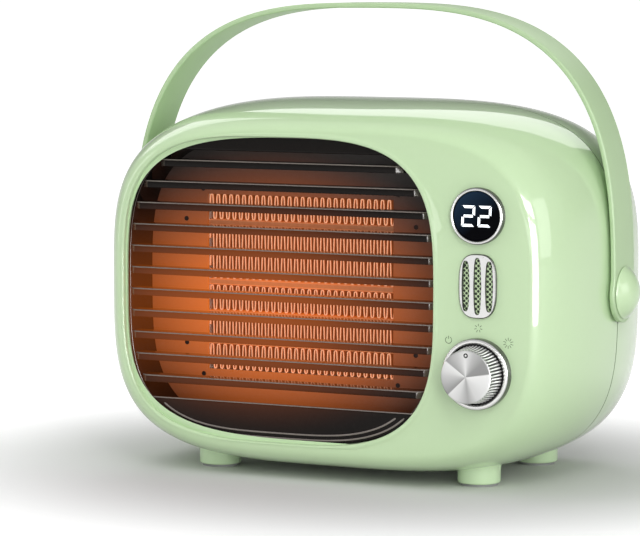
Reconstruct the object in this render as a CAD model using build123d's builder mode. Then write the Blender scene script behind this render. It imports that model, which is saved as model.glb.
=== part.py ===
from build123d import *
import os
from math import atan2, cos, degrees, hypot, pi, radians, sin, sqrt, tan

os.makedirs("parts", exist_ok=True)

# Body. Reach is measured forward from the seam plane between the two shells.
body_width = 257.0
body_top = 185.0
ground_clearance = 3.5
widest_height = 93.0
front_depth = 67.0
rear_depth = 64.0
wall = 2.6
side_bow = 1100.0
end_bow = 820.0
corner_radius = 60.0
draft = 7.5
edge_rounding = 13.0

# Seam between the shells
seam_gap = 0.5
seam_lip_reach = 4.0
seam_lip_depth = 6.0
seam_lip_thickness = 1.4
seam_lip_clearance = 0.2
seam_lip_bite = 1.0

# Feet
foot_radius = 10.5
foot_flare = 2.5
foot_inset = 57.8
front_foot_reach = 34.0
rear_foot_reach = -40.0
foot_rise = 14.0
pad_thickness = 1.2
pad_inset = 1.6

# Air outlet in the front shell
opening_edge = 21.0
panel_width = 68.0
opening_top_edge = 17.5
opening_bottom_edge = 15.0
opening_side_bow = 470.0
opening_end_bow = 475.0
opening_corner = 46.0
collar_wall = 2.0
lip_bevel = 1.2
baffle_reach = 40.0
baffle_thickness = 1.6
baffle_flange = 6.0
baffle_boss_radius = 2.9
baffle_boss_length = 10.0
baffle_screw_offset = 4.4

# Front grille
grille_clearance = 0.25
grille_wall = 1.8
grille_recess = 2.4
ridge_wall = 1.5
ridge_step = 2.2
ridge_depth = 12.0
slat_count = 12
slat_pitch = 10.76
slat_height = 3.6
slat_depth = 9.0
slat_rounding = 0.9
slat_recess = 3.6
slat_row_lift = 1.2
nameplate_thickness = 2.0

# Heating block
heater_side_gap = 33.0
heater_end_gap = 30.5
heater_depth = 16.0
frame_wall = 5.0
strip_count = 3
stone_thickness = 2.0
electrode_thickness = 0.5
divider_thickness = 1.0
fin_pitch = 3.64
fin_thickness = 0.3
stack_clearance = 0.05
tab_length = 16.0
tab_width = 6.3
tab_slot_clearance = 1.0

# Air duct and cut-outs
duct_clearance = 1.0
duct_wall = 2.0
duct_flange = 8.0
duct_turn_reach = 14.0
duct_collar_reach = -8.0
fan_tip_gap = 3.0
duct_lug_radius = 3.6
duct_screw_share = 0.6
lug_count = 3
lug_bite = 1.0
lug_turn = 90.0
cutout_radius = 7.5
cutout_height = 7.0
cutout_cap_radius = 6.0
cutout_side = 24.0
cutout_reach = 27.0
cutout_tab = 5.0
fuse_radius = 2.0
fuse_length = 14.0
fuse_side = -20.0

# Fan and motor
fan_overlap = 4.0
hub_radius = 17.0
hub_length = 16.0
hub_reach = 10.0
hub_rounding = 3.0
hub_cap = 2.0
blade_root = 2.0
blade_count = 7
blade_chord = 20.0
blade_thickness = 1.6
blade_pitch = 35.0
bracket_thickness = 2.0
bracket_arm_width = 9.0
bracket_arm_turn = 30.0
motor_radius = 23.0
motor_length = 28.0
motor_wall = 1.5
motor_plate_thickness = 2.0
stator_radial = 5.9
stator_length = 18.0
stator_setback = 4.0
air_gap = 0.6
rotor_setback = 1.0
shaft_radius = 2.0
running_clearance = 0.05
bush_radius = 5.0
bush_length = 5.0
motor_screw_radius = 16.0

# Control column
control_inset = 44.5
display_height = 133.2
display_vent_step = 33.2
vent_knob_step = 41.5
board_width = 36.0
board_height = 106.0
board_reach = 50.0
board_thickness = 1.6
standoff_radius = 3.0
standoff_inset = 5.0
display_module_width = 17.0
display_module_height = 13.0
bezel_radius = 13.5
bezel_proud = 3.6
bezel_sleeve_radius = 12.4
bezel_bore = 11.9
bezel_ledge_bore = 11.0
bezel_ledge = 1.3
lens_thickness = 1.6
lens_clearance = 0.15
vent_width = 19.0
vent_length = 30.4
vent_thickness = 1.6
vent_side_bow = 64.0
vent_end_bow = 40.0
vent_corner = 6.8
vent_border = 1.6
vent_slot_pitch = 4.9
vent_center_slot = (4.1, 25.8)
vent_side_slot = (3.3, 22.0)
mesh_thickness = 0.8
mesh_hole_radius = 0.62
mesh_pitch = 1.9
sensor_radius = 2.0
sensor_length = 9.0
tilt_switch_size = 9.0
tilt_vent_step = 8.0

# Knob and switch
knob_radius = 12.8
knob_proud = 15.0
knob_lift = 1.5
knob_flutes = 40
flute_radius = 0.55
knob_face_bevel = 0.9
knob_dimple_radius = 1.0
knob_dimple_depth = 0.5
knob_dimple_inset = 3.2
knob_recess_radius = 8.0
knob_recess_depth = 3.2
knob_cap = 3.0
ring_radius = 17.0
ring_bore = 14.4
ring_proud = 4.5
ring_rounding = 1.2
dish_thickness = 1.0
switch_size = 15.0
switch_shaft_radius = 3.0
switch_bush_radius = 4.0
switch_shaft_depth = 8.0
switch_nut_size = 5.5
switch_nut_thickness = 1.8

# Carrying handle
handle_top = 232.0
handle_side_bow = 528.0
handle_end_bow = 523.0
handle_shoulder = 91.0
handle_width = 26.0
handle_thickness = 2.6
handle_gap = 1.0
handle_bevel = 0.6
handle_eye_radius = 14.5
pivot_radius = 5.0
pivot_pad_radius = 11.0
pivot_pad_thickness = 3.0
pivot_flange_radius = 8.0
pivot_flange_thickness = 2.0
pivot_bore = 2.5
cap_radius = 12.8
cap_height = 6.7
cap_gap = 0.3
washer_radius = 10.5
washer_thickness = 0.6

# Back of the body
slot_columns = 3
slot_rows = 13
slot_field_edge = 50.5
slot_bridge = 6.0
slot_height = 3.6
slot_row_pitch = 7.2
filter_margin = 4.0
filter_thickness = 1.0
gland_inset = 50.5
gland_filter_gap = 4.0
gland_radius = 6.0
gland_flange_radius = 8.0
gland_proud = 2.5
gland_inner_length = 6.0
cord_width = 8.0
cord_thickness = 4.0
terminal_gap = 5.0
terminal_width = 16.0
terminal_height = 14.0
terminal_depth = 12.0
terminal_lift = 18.0

# Screws and posts
post_side = 28.5
post_top = 30.0
post_bottom = 27.5
post_radius = 4.5
post_gap = 0.2
post_length = 25.0
post_rib = 3.0
post_rib_length = 26.0
well_radius = 3.4
well_seat = 10.0
housing_screw_radius = 1.45
housing_screw_head = 2.8
housing_screw_head_height = 2.0
housing_screw_bite = 12.0
small_screw_radius = 1.2
small_screw_head = 2.3
small_screw_head_height = 1.5
small_screw_length = 8.0
lug_screw_length = 10.0
pilot_depth = 9.0
cut_margin = 1.0
screw_clearance = 0.1
cross_recess_width = 0.6
cross_recess_depth = 0.7
cross_recess_share = 1.3

# Inner leads
lead_radius = 1.1
lead_bend = 12.0
lead_end_gap = 0.1
lead_spread = 5.0
motor_lead_inset = 10.0

# Places worked out from the sizes above
half_width = body_width / 2
front_reach = front_depth + knob_proud
rear_reach = rear_depth + gland_proud
seam_y = (front_reach - rear_reach) / 2
top_half = body_top - widest_height
bottom_half = widest_height - ground_clearance
opening_width = body_width - opening_edge - panel_width
opening_low = ground_clearance + opening_bottom_edge
opening_high = body_top - opening_top_edge
opening_height = opening_high - opening_low
core_x = -half_width + opening_edge + opening_width / 2
core_z = (opening_low + opening_high) / 2
control_x = half_width - control_inset
front_inside = front_depth - wall
rear_inside = rear_depth - wall
vent_height = display_height - display_vent_step
knob_height = vent_height - vent_knob_step
tilt_switch_height = vent_height + tilt_vent_step
foot_side = half_width - foot_inset
motor_lead_side = control_x + motor_lead_inset
slot_column_pitch = (body_width - 2 * slot_field_edge) / slot_columns
slot_length = slot_column_pitch - slot_bridge
filter_width = (slot_columns - 1) * slot_column_pitch + slot_length + 2 * filter_margin
filter_height = (slot_rows - 1) * slot_row_pitch + slot_height + 2 * filter_margin
gland_side = half_width - gland_inset
gland_height = core_z - filter_height / 2 - gland_filter_gap - gland_radius
terminal_side = filter_width / 2 + terminal_gap + terminal_width / 2
heater_width = opening_width - 2 * heater_side_gap
heater_height = opening_height - 2 * heater_end_gap
baffle_back = baffle_reach - baffle_thickness
heater_back = baffle_back - heater_depth


def at(reach):
    return Plane.XZ.offset(reach - seam_y)


# Centre of a corner arc that is tangent to a side arc and an end arc, and the angles where they meet
def corner_place(half_across, upright, side_radius, end_radius, corner):
    side_center = half_across - side_radius
    end_center = upright - end_radius
    span = hypot(side_center, end_center)
    side_gap = side_radius - corner
    end_gap = end_radius - corner
    along = (side_gap**2 - end_gap**2 + span**2) / (2 * span)
    off = sqrt(side_gap**2 - along**2)
    center_x = side_center + (-along * side_center - off * end_center) / span
    center_z = (along * end_center - off * side_center) / span
    side_angle = degrees(atan2(center_z, center_x - side_center))
    end_angle = degrees(atan2(center_z - end_center, center_x))
    return center_x, center_z, side_angle, end_angle


# Closed outline of eight tangent arcs: bowed sides and ends joined by round corners
def outline(center, half_across, upper, lower, side_bow, end_bow, corner, inset=0.0):
    x, z = center
    side_radius = side_bow - inset
    end_radius = end_bow - inset
    turn = corner - inset
    side = half_across - side_bow
    high_x, high_z, high_side, high_end = corner_place(
        half_across - inset, upper - inset, side_radius, end_radius, turn
    )
    low_x, low_z, low_side, low_end = corner_place(
        half_across - inset, lower - inset, side_radius, end_radius, turn
    )
    CenterArc((x + side, z), side_radius, -low_side, low_side + high_side)
    CenterArc((x + high_x, z + high_z), turn, high_side, high_end - high_side)
    CenterArc((x, z + upper - end_bow), end_radius, high_end, 180 - 2 * high_end)
    CenterArc((x - high_x, z + high_z), turn, 180 - high_end, high_end - high_side)
    CenterArc((x - side, z), side_radius, 180 - high_side, high_side + low_side)
    CenterArc((x - low_x, z - low_z), turn, 180 + low_side, low_end - low_side)
    CenterArc((x, z - lower + end_bow), end_radius, 180 + low_end, 180 - 2 * low_end)
    CenterArc((x + low_x, z - low_z), turn, -low_end, low_end - low_side)


# Outline of the body at the seam, moved in by an inset
def body_outline(inset):
    outline((0, widest_height), half_width, top_half, bottom_half, side_bow, end_bow, corner_radius, inset)


# Outline of the air outlet, grown outward by a margin
def opening_outline(margin):
    half = opening_height / 2
    center = (core_x, core_z)
    outline(center, opening_width / 2, half, half, opening_side_bow, opening_end_bow, opening_corner, -margin)


# Outline of the vent trim, moved in by an inset
def vent_outline(inset):
    half = vent_length / 2
    center = (control_x, vent_height)
    outline(center, vent_width / 2, half, half, vent_side_bow, vent_end_bow, vent_corner, inset)


def opening_prism(margin, low, high):
    with BuildPart() as solid:
        with BuildSketch(at(low)):
            with BuildLine():
                opening_outline(margin)
            make_face()
        extrude(amount=high - low)
    return solid.part


# One half of the body, drawn in from the seam to its rounded end, with its skin moved in by the inset
def body_half(depth, facing, inset):
    with BuildPart() as half:
        with BuildSketch(at(0)):
            with BuildLine():
                body_outline(inset)
            make_face()
        extrude(amount=facing * (depth - inset), taper=draft)
        end = half.edges().group_by(Axis.Y)[0 if facing > 0 else -1]
        fillet(end, edge_rounding - inset)
    return half.part


# Two feet standing on their pads, flared where they meet the body
def foot_pair(reach):
    flare_height = ground_clearance + foot_flare
    with BuildPart() as feet:
        with BuildSketch(Plane.XY.offset(pad_thickness)):
            with Locations((-foot_side, seam_y - reach), (foot_side, seam_y - reach)):
                Circle(foot_radius)
        extrude(amount=foot_rise)
        for side in (-1, 1):
            with BuildSketch(Plane.XZ.offset(reach - seam_y)):
                with BuildLine():
                    Polyline(
                        (side * foot_side, flare_height - foot_flare),
                        (side * foot_side + foot_radius, flare_height - foot_flare),
                        (side * foot_side + foot_radius + foot_flare, flare_height + foot_flare),
                        (side * foot_side + foot_radius + foot_flare, foot_rise),
                        (side * foot_side, foot_rise),
                        close=True,
                    )
                make_face()
            revolve(axis=Axis((side * foot_side, seam_y - reach, 0), (0, 0, 1)))
    return feet.part


# Places of the four screws that join the two shells
def post_places():
    upper = body_top - post_top
    lower = ground_clearance + post_bottom
    side = half_width - post_side
    return [(-side, upper), (side, upper), (-side, lower), (side, lower)]


# Plane square to the pivot axis, looking outward from one side of the body
def pivot_plane(side, distance):
    return Plane(origin=(side * distance, seam_y, widest_height), x_dir=(0, side, 0), z_dir=(side, 0, 0))


# Half-round pads inside one shell that clamp the handle's two pivot bushes
def pivot_pads(facing):
    with BuildPart() as pads:
        for side in (-1, 1):
            with BuildSketch(pivot_plane(side, half_width - wall - pivot_pad_thickness)):
                Circle(pivot_pad_radius)
                with Locations((-facing * side * (pivot_pad_radius + seam_gap / 2 * (1 - facing)), 0)):
                    Rectangle(2 * pivot_pad_radius, 2 * pivot_pad_radius, mode=Mode.INTERSECT)
            extrude(amount=pivot_pad_thickness + wall / 4)
    return pads.part


def pivot_holes():
    with BuildPart() as holes:
        for side in (-1, 1):
            with BuildSketch(pivot_plane(side, half_width - 2 * pivot_pad_radius)):
                Circle(pivot_radius + running_clearance)
            extrude(amount=3 * pivot_pad_radius)
    return holes.part


def discs(places, radius, low, high):
    with BuildPart() as solid:
        with BuildSketch(at(low)):
            with Locations(*places):
                Circle(radius)
        extrude(amount=high - low)
    return solid.part


# A group of cross-head screws driven along the depth: facing 1 drives them forward
def screw_group(places, seat, facing, radius, head_radius, head_height, length):
    with BuildPart() as group:
        with BuildSketch(at(seat)):
            with Locations(*places):
                Circle(head_radius)
        extrude(amount=-facing * head_height)
        with BuildSketch(at(seat)):
            with Locations(*places):
                Circle(radius)
        extrude(amount=facing * length)
        with BuildSketch(at(seat - facing * head_height)):
            with Locations(*places):
                Rectangle(cross_recess_share * head_radius, cross_recess_width)
                Rectangle(cross_recess_width, cross_recess_share * head_radius)
        extrude(amount=facing * cross_recess_depth, mode=Mode.SUBTRACT)
    return group


def small_screws(places, seat, facing, length):
    return screw_group(
        places, seat, facing, small_screw_radius, small_screw_head, small_screw_head_height, length
    )


front_blank = body_half(front_depth, 1, 0)
front_hollow = body_half(front_depth, 1, wall)
rear_blank = body_half(rear_depth, -1, 0)
rear_hollow = body_half(rear_depth, -1, wall)

# Screws that hold the baffle sit on the corners of the opening, outside its collar
boss_x, boss_z, boss_start, boss_end = corner_place(
    opening_width / 2, opening_height / 2, opening_side_bow, opening_end_bow, opening_corner
)
boss_turn = radians((boss_start + boss_end) / 2)
boss_x += (opening_corner + baffle_screw_offset) * cos(boss_turn)
boss_z += (opening_corner + baffle_screw_offset) * sin(boss_turn)



# Four places, mirrored left to right and top to bottom about a middle
def four_places(middle_x, middle_z, across, upright):
    sides = [middle_x - across, middle_x + across]
    return [(x, z) for x in sides for z in (middle_z - upright, middle_z + upright)]


baffle_places = four_places(core_x, core_z, boss_x, boss_z)
board_mid = (display_height + knob_height) / 2
board_places = four_places(
    control_x, board_mid, board_width / 2 - standoff_inset, board_height / 2 - standoff_inset
)
board_front = board_reach + board_thickness
bezel_hole = bezel_sleeve_radius + screw_clearance
switch_hole = switch_bush_radius + screw_clearance

# Post of the front shell: a tube with a rib out to the wall
front_post_start = seam_lip_reach + post_gap
with BuildPart() as front_posts:
    with BuildSketch(at(front_post_start)):
        for place in post_places():
            outward = degrees(atan2(place[1] - widest_height, place[0]))
            with Locations(place):
                Circle(post_radius)
                Rectangle(post_rib_length, post_rib, rotation=outward, align=(Align.MIN, Align.CENTER))
    extrude(amount=post_length)
    add(front_blank, mode=Mode.INTERSECT)

# Bevelled mouth of the air outlet
with BuildPart() as lip_cutter:
    with BuildSketch(at(front_depth - lip_bevel)):
        with BuildLine():
            opening_outline(0)
        make_face()
    with BuildSketch(at(front_depth + lip_bevel)):
        with BuildLine():
            opening_outline(2 * lip_bevel)
        make_face()
    loft(ruled=True)

with BuildPart() as vent_window:
    with BuildSketch(at(front_inside - cut_margin)):
        with BuildLine():
            vent_outline(vent_border)
        make_face()
    extrude(amount=wall + 2 * cut_margin)

collar_end = front_depth - wall / 2
pilot_radius = small_screw_radius + running_clearance
post_pilot_radius = housing_screw_radius + running_clearance
post_pilot_end = front_post_start + housing_screw_bite + cut_margin
front_added = [
    opening_prism(collar_wall, baffle_reach, collar_end),
    discs(baffle_places, baffle_boss_radius, baffle_reach, baffle_reach + baffle_boss_length),
    front_posts.part,
    pivot_pads(1),
    discs(board_places, standoff_radius, board_front, collar_end),
]
front_cuts = [
    opening_prism(0, baffle_reach - cut_margin, front_depth + cut_margin),
    lip_cutter.part,
    pivot_holes(),
    discs(baffle_places, pilot_radius, baffle_reach - cut_margin, baffle_reach + pilot_depth),
    discs(board_places, pilot_radius, board_front - cut_margin, board_front + pilot_depth),
    discs(post_places(), post_pilot_radius, 0, post_pilot_end),
    discs([(control_x, display_height)], bezel_hole, front_inside - cut_margin, front_depth + cut_margin),
    discs([(control_x, knob_height)], switch_hole, front_inside - cut_margin, front_depth + cut_margin),
    vent_window.part,
]
with BuildPart() as front_housing:
    add(front_blank)
    add(foot_pair(front_foot_reach))
    add(front_hollow, mode=Mode.SUBTRACT)
    add(front_added)
    add(front_cuts, mode=Mode.SUBTRACT)

# Inner lip of the rear cover, which keeps the seam closed behind its gap
seam_lip_inset = wall + seam_lip_reach * tan(radians(draft)) + seam_lip_clearance
with BuildPart() as seam_lip:
    with BuildSketch(at(-seam_lip_depth)):
        with BuildLine():
            body_outline(seam_lip_inset)
        make_face()
    extrude(amount=seam_lip_depth + seam_lip_reach)
    with BuildSketch(at(-seam_lip_depth)):
        with BuildLine():
            body_outline(wall - seam_lip_bite)
        make_face()
    extrude(amount=seam_lip_depth - seam_gap)
    with BuildSketch(at(-seam_lip_depth)):
        with BuildLine():
            body_outline(seam_lip_inset + seam_lip_thickness)
        make_face()
    extrude(amount=seam_lip_depth + seam_lip_reach, mode=Mode.SUBTRACT)
    with BuildSketch(at(-seam_gap)):
        with Locations((0, widest_height)):
            Rectangle(2 * body_width, 2 * (pivot_pad_radius + cut_margin))
    extrude(amount=seam_gap + seam_lip_reach, mode=Mode.SUBTRACT)

with BuildPart() as rear_posts:
    add(discs(post_places(), post_radius, -rear_depth, 0))
    add(rear_blank, mode=Mode.INTERSECT)

with BuildPart() as intake_slots:
    with BuildSketch(at(-rear_depth - cut_margin)):
        with Locations((0, core_z)):
            with GridLocations(slot_column_pitch, slot_row_pitch, slot_columns, slot_rows):
                SlotOverall(slot_length, slot_height)
    extrude(amount=wall + 2 * cut_margin)

screw_hole = housing_screw_radius + screw_clearance
rear_added = [
    seam_lip.part,
    rear_posts.part,
    discs(post_places(), post_radius, -well_seat, front_post_start - post_gap),
    pivot_pads(-1),
]
rear_cuts = [
    pivot_holes(),
    discs(post_places(), well_radius, -rear_depth - cut_margin, -well_seat),
    discs(post_places(), screw_hole, -well_seat - cut_margin, front_post_start),
    discs([(gland_side, gland_height)], gland_radius, -rear_depth - cut_margin, cut_margin - rear_inside),
    intake_slots.part,
]
with BuildPart() as rear_cover:
    add(rear_blank)
    add(foot_pair(rear_foot_reach))
    add(rear_hollow, mode=Mode.SUBTRACT)
    with BuildSketch(at(-seam_gap)):
        with Locations((0, widest_height)):
            Rectangle(2 * body_width, 2 * body_top)
    extrude(amount=2 * seam_gap, mode=Mode.SUBTRACT)
    add(rear_added)
    add(rear_cuts, mode=Mode.SUBTRACT)

# Front grille: a lining of the opening, a stepped rim, slats and a bare plate under them
grille_front = front_depth - grille_recess
rim_outer = -grille_clearance
rim_inner = rim_outer - grille_wall
ridge_inner = rim_inner - ridge_wall
slat_front = front_depth - slat_recess
first_slat = core_z + slat_row_lift + slat_pitch * (slat_count - 1) / 2
last_slat = first_slat - slat_pitch * (slat_count - 1)
rim_bore = opening_prism(ridge_inner, baffle_reach - cut_margin, front_depth)
with BuildPart() as slats:
    with BuildSketch(Plane.YZ.offset(core_x - opening_width / 2)):
        for index in range(slat_count):
            with Locations((seam_y - slat_front, first_slat - index * slat_pitch)):
                RectangleRounded(slat_depth, slat_height, slat_rounding, align=(Align.MIN, Align.CENTER))
    extrude(amount=opening_width)
    with BuildSketch(at(slat_front - nameplate_thickness)):
        with Locations((core_x, last_slat - slat_pitch / 2)):
            Rectangle(opening_width, opening_height, align=(Align.CENTER, Align.MAX))
        with Locations((core_x, first_slat + slat_pitch / 2)):
            Rectangle(opening_width, opening_height, align=(Align.CENTER, Align.MIN))
    extrude(amount=nameplate_thickness)
    add(opening_prism(rim_inner - ridge_wall / 2, baffle_reach, front_depth), mode=Mode.INTERSECT)

with BuildPart() as front_grille:
    add(opening_prism(rim_outer, baffle_reach, grille_front))
    add(opening_prism(rim_inner, baffle_reach - cut_margin, front_depth), mode=Mode.SUBTRACT)
    ridge_front = grille_front - ridge_step
    with BuildSketch(at(ridge_front - ridge_depth)):
        with BuildLine():
            opening_outline(rim_inner + grille_wall / 2)
        make_face()
    extrude(amount=ridge_depth)
    add(rim_bore, mode=Mode.SUBTRACT)
    add(slats.part)

# Baffle plate that closes the back of the grille and carries the heating block
frame_half_width = heater_width / 2 + frame_wall
frame_half_height = heater_height / 2 + frame_wall
duct_half_width = frame_half_width + duct_clearance + duct_wall
duct_half_height = frame_half_height + duct_clearance + duct_wall
frame_places = four_places(
    core_x, core_z, frame_half_width - frame_wall / 2, frame_half_height - frame_wall / 2
)
duct_places = four_places(
    core_x, core_z, duct_half_width + duct_flange / 2, duct_screw_share * duct_half_height
)
with BuildPart() as baffle_plate:
    add(opening_prism(baffle_flange, baffle_back, baffle_reach))
    with BuildSketch(at(baffle_back)):
        with Locations((core_x, core_z)):
            Rectangle(heater_width, heater_height)
        with Locations(*frame_places, *duct_places):
            Circle(pilot_radius)
        with Locations(*baffle_places):
            Circle(small_screw_radius + screw_clearance)
    extrude(amount=baffle_thickness, mode=Mode.SUBTRACT)

baffle_screws = small_screws(baffle_places, baffle_back, 1, small_screw_length)

# Heating block: ceramic stones between electrodes, with corrugated fins above and below
strip_thickness = stone_thickness + 2 * electrode_thickness + 2 * stack_clearance
divider_total = (strip_count - 1) * divider_thickness
fin_height = (heater_height - strip_count * strip_thickness - divider_total) / (2 * strip_count)
unit_pitch = 2 * fin_height + strip_thickness + divider_thickness
strip_heights = [core_z + (index - (strip_count - 1) / 2) * unit_pitch for index in range(strip_count)]
divider_heights = [core_z + (index - (strip_count - 2) / 2) * unit_pitch for index in range(strip_count - 1)]
tab_end = core_x + heater_width / 2 + tab_length
tab_reach = heater_back + heater_depth / 2
tab_slot_height = strip_thickness + tab_slot_clearance
tab_slot_depth = tab_width + tab_slot_clearance

with BuildPart() as ptc_frame:
    with BuildSketch(at(heater_back)):
        with Locations((core_x, core_z)):
            Rectangle(2 * frame_half_width, 2 * frame_half_height)
            Rectangle(heater_width, heater_height, mode=Mode.SUBTRACT)
        with Locations(*frame_places):
            Circle(small_screw_radius + screw_clearance, mode=Mode.SUBTRACT)
    extrude(amount=heater_depth)
    with BuildSketch(Plane.YZ.offset(core_x)):
        for height in strip_heights:
            with Locations((seam_y - tab_reach, height)):
                Rectangle(tab_slot_depth, tab_slot_height)
    extrude(amount=frame_half_width + cut_margin, mode=Mode.SUBTRACT)

stack_half = heater_width / 2 - stack_clearance
stack_depth = heater_depth - 2 * stack_clearance
stack_back = heater_back + stack_clearance
with BuildPart() as ptc_stones:
    with BuildSketch(at(stack_back)):
        for height in strip_heights:
            with Locations((core_x, height)):
                Rectangle(2 * stack_half, stone_thickness)
    extrude(amount=stack_depth)

electrode_offset = stone_thickness / 2 + stack_clearance / 2 + electrode_thickness / 2
electrode_heights = [height + way * electrode_offset for height in strip_heights for way in (-1, 1)]
with BuildPart() as electrode_plates:
    with BuildSketch(at(stack_back)):
        for height in electrode_heights:
            with Locations((core_x, height)):
                Rectangle(2 * stack_half, electrode_thickness)
    extrude(amount=stack_depth)
    with BuildSketch(at(tab_reach - tab_width / 2)):
        for height in electrode_heights:
            with Locations((core_x, height)):
                Rectangle(tab_end - core_x, electrode_thickness, align=(Align.MIN, Align.CENTER))
    extrude(amount=tab_width)


# Side of a square-cornered wave, offset to one side of its middle line
def wave_side(corners, offset):
    points = []
    for index, corner in enumerate(corners):
        before = corners[max(index - 1, 0)]
        after = corners[min(index + 1, len(corners) - 1)]
        turn_x = 0
        turn_z = 0
        for start, end in ((before, corner), (corner, after)):
            turn_x += (start[1] > end[1]) - (start[1] < end[1])
            turn_z += (end[0] > start[0]) - (end[0] < start[0])
        points.append((corner[0] + offset * turn_x, corner[1] + offset * turn_z))
    return points


fin_count = round(2 * stack_half / fin_pitch)
fin_step = (2 * stack_half - fin_thickness) / (2 * fin_count)
fin_low = stack_clearance + fin_thickness / 2
fin_high = fin_height - stack_clearance - fin_thickness / 2
fin_corners = []
for leg in range(2 * fin_count + 1):
    leg_x = -stack_half + fin_thickness / 2 + leg * fin_step
    ends = (fin_low, fin_high) if leg % 2 == 0 else (fin_high, fin_low)
    fin_corners.append((leg_x, ends[0]))
    fin_corners.append((leg_x, ends[1]))
fin_outline = wave_side(fin_corners, fin_thickness / 2) + wave_side(fin_corners, -fin_thickness / 2)[::-1]

fin_bases = [height + strip_thickness / 2 for height in strip_heights]
fin_bases += [height - strip_thickness / 2 - fin_height for height in strip_heights]
with BuildPart() as heating_fins:
    with BuildSketch(at(stack_back)):
        for base in fin_bases:
            with BuildLine():
                Polyline(*[(core_x + x, base + z) for x, z in fin_outline], close=True)
            make_face()
    extrude(amount=stack_depth)

with BuildPart() as fin_dividers:
    with BuildSketch(at(stack_back)):
        for height in divider_heights:
            with Locations((core_x, height)):
                Rectangle(2 * stack_half, divider_thickness)
    extrude(amount=stack_depth)

frame_screws = small_screws(frame_places, heater_back, 1, heater_depth + baffle_thickness - running_clearance)

# Air duct: square round the heating block, round at the fan
fan_radius = (heater_height + fan_overlap) / 2
throat_radius = fan_radius + fan_tip_gap
flange_back = baffle_back - duct_wall
lug_ring = throat_radius + duct_wall + duct_lug_radius - lug_bite
lug_turns = [radians(lug_turn) + 2 * pi * index / lug_count for index in range(lug_count)]
lug_places = [(core_x + lug_ring * cos(turn), core_z + lug_ring * sin(turn)) for turn in lug_turns]
with BuildPart() as air_duct:
    with BuildSketch(at(duct_turn_reach)):
        with Locations((core_x, core_z)):
            Rectangle(2 * duct_half_width, 2 * duct_half_height)
    extrude(amount=baffle_back - duct_turn_reach)
    with BuildSketch(at(flange_back)):
        with Locations((core_x, core_z)):
            Rectangle(2 * (duct_half_width + duct_flange), 2 * duct_half_height)
    extrude(amount=duct_wall)
    with BuildSketch(at(duct_collar_reach)):
        with Locations((core_x, core_z)):
            Circle(throat_radius + duct_wall)
        with Locations(*lug_places):
            Circle(duct_lug_radius)
    extrude(amount=duct_turn_reach - duct_collar_reach)
    with BuildSketch(at(duct_turn_reach)):
        with Locations((core_x, core_z)):
            Circle(lug_ring + duct_lug_radius + lug_bite)
    extrude(amount=duct_wall)
    with BuildSketch(at(duct_turn_reach + duct_wall)):
        with Locations((core_x, core_z)):
            Rectangle(2 * (duct_half_width - duct_wall), 2 * (duct_half_height - duct_wall))
    extrude(amount=baffle_back - duct_turn_reach, mode=Mode.SUBTRACT)
    with BuildSketch(at(duct_collar_reach)):
        with Locations((core_x, core_z)):
            Circle(throat_radius)
    extrude(amount=duct_turn_reach + duct_wall - duct_collar_reach, mode=Mode.SUBTRACT)
    with BuildSketch(at(duct_collar_reach)):
        with Locations(*lug_places):
            Circle(pilot_radius)
    extrude(amount=pilot_depth, mode=Mode.SUBTRACT)
    with BuildSketch(at(flange_back)):
        with Locations(*duct_places):
            Circle(small_screw_radius + screw_clearance)
    extrude(amount=duct_wall, mode=Mode.SUBTRACT)
    with BuildSketch(Plane.YZ.offset(core_x)):
        for height in strip_heights:
            with Locations((seam_y - tab_reach, height)):
                Rectangle(tab_slot_depth, tab_slot_height)
    extrude(amount=duct_half_width + cut_margin, mode=Mode.SUBTRACT)
    with BuildSketch(Plane.XY.offset(core_z)):
        with Locations((core_x + cutout_side, seam_y - cutout_reach)):
            Circle(cutout_cap_radius + screw_clearance)
    extrude(amount=duct_half_height + cut_margin, mode=Mode.SUBTRACT)

duct_screws = small_screws(duct_places, flange_back, 1, duct_wall + baffle_thickness - running_clearance)

# Bimetal cut-out and one-shot fuse on top of the duct
duct_roof = core_z + duct_half_height
with BuildPart() as thermal_cutout:
    with BuildSketch(Plane.XY.offset(duct_roof)):
        with Locations((core_x + cutout_side, seam_y - cutout_reach)):
            Circle(cutout_radius)
    extrude(amount=cutout_height)
    with BuildSketch(Plane.XY.offset(duct_roof - duct_wall)):
        with Locations((core_x + cutout_side, seam_y - cutout_reach)):
            Circle(cutout_cap_radius)
    extrude(amount=duct_wall)
    with BuildSketch(Plane.XY.offset(duct_roof + cutout_height)):
        with Locations((core_x + cutout_side, seam_y - cutout_reach)):
            with GridLocations(cutout_radius, cutout_radius, 2, 1):
                Rectangle(electrode_thickness, tab_width)
    extrude(amount=cutout_tab)

with BuildPart() as thermal_fuse:
    with BuildSketch(Plane.YZ.offset(core_x + fuse_side - fuse_length / 2)):
        with Locations((seam_y - cutout_reach, duct_roof + fuse_radius + stack_clearance)):
            Circle(fuse_radius)
    extrude(amount=fuse_length)

# Fan, its motor and the bracket that hangs them in the throat
bracket_back = duct_collar_reach - bracket_thickness
motor_front = bracket_back - motor_plate_thickness
motor_back = motor_front - motor_length
ring_outer_radius = lug_ring + duct_lug_radius
motor_places = [(core_x - motor_screw_radius, core_z), (core_x + motor_screw_radius, core_z)]
with BuildPart() as motor_bracket:
    with BuildSketch(at(bracket_back)):
        with Locations((core_x, core_z)):
            Circle(ring_outer_radius)
            Circle(throat_radius, mode=Mode.SUBTRACT)
            with PolarLocations(0, lug_count, start_angle=bracket_arm_turn):
                Rectangle(throat_radius + cut_margin, bracket_arm_width, align=(Align.MIN, Align.CENTER))
            Circle(motor_radius)
            Circle(bush_radius + screw_clearance, mode=Mode.SUBTRACT)
        with Locations(*motor_places, *lug_places):
            Circle(small_screw_radius + screw_clearance, mode=Mode.SUBTRACT)
    extrude(amount=bracket_thickness)

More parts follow.
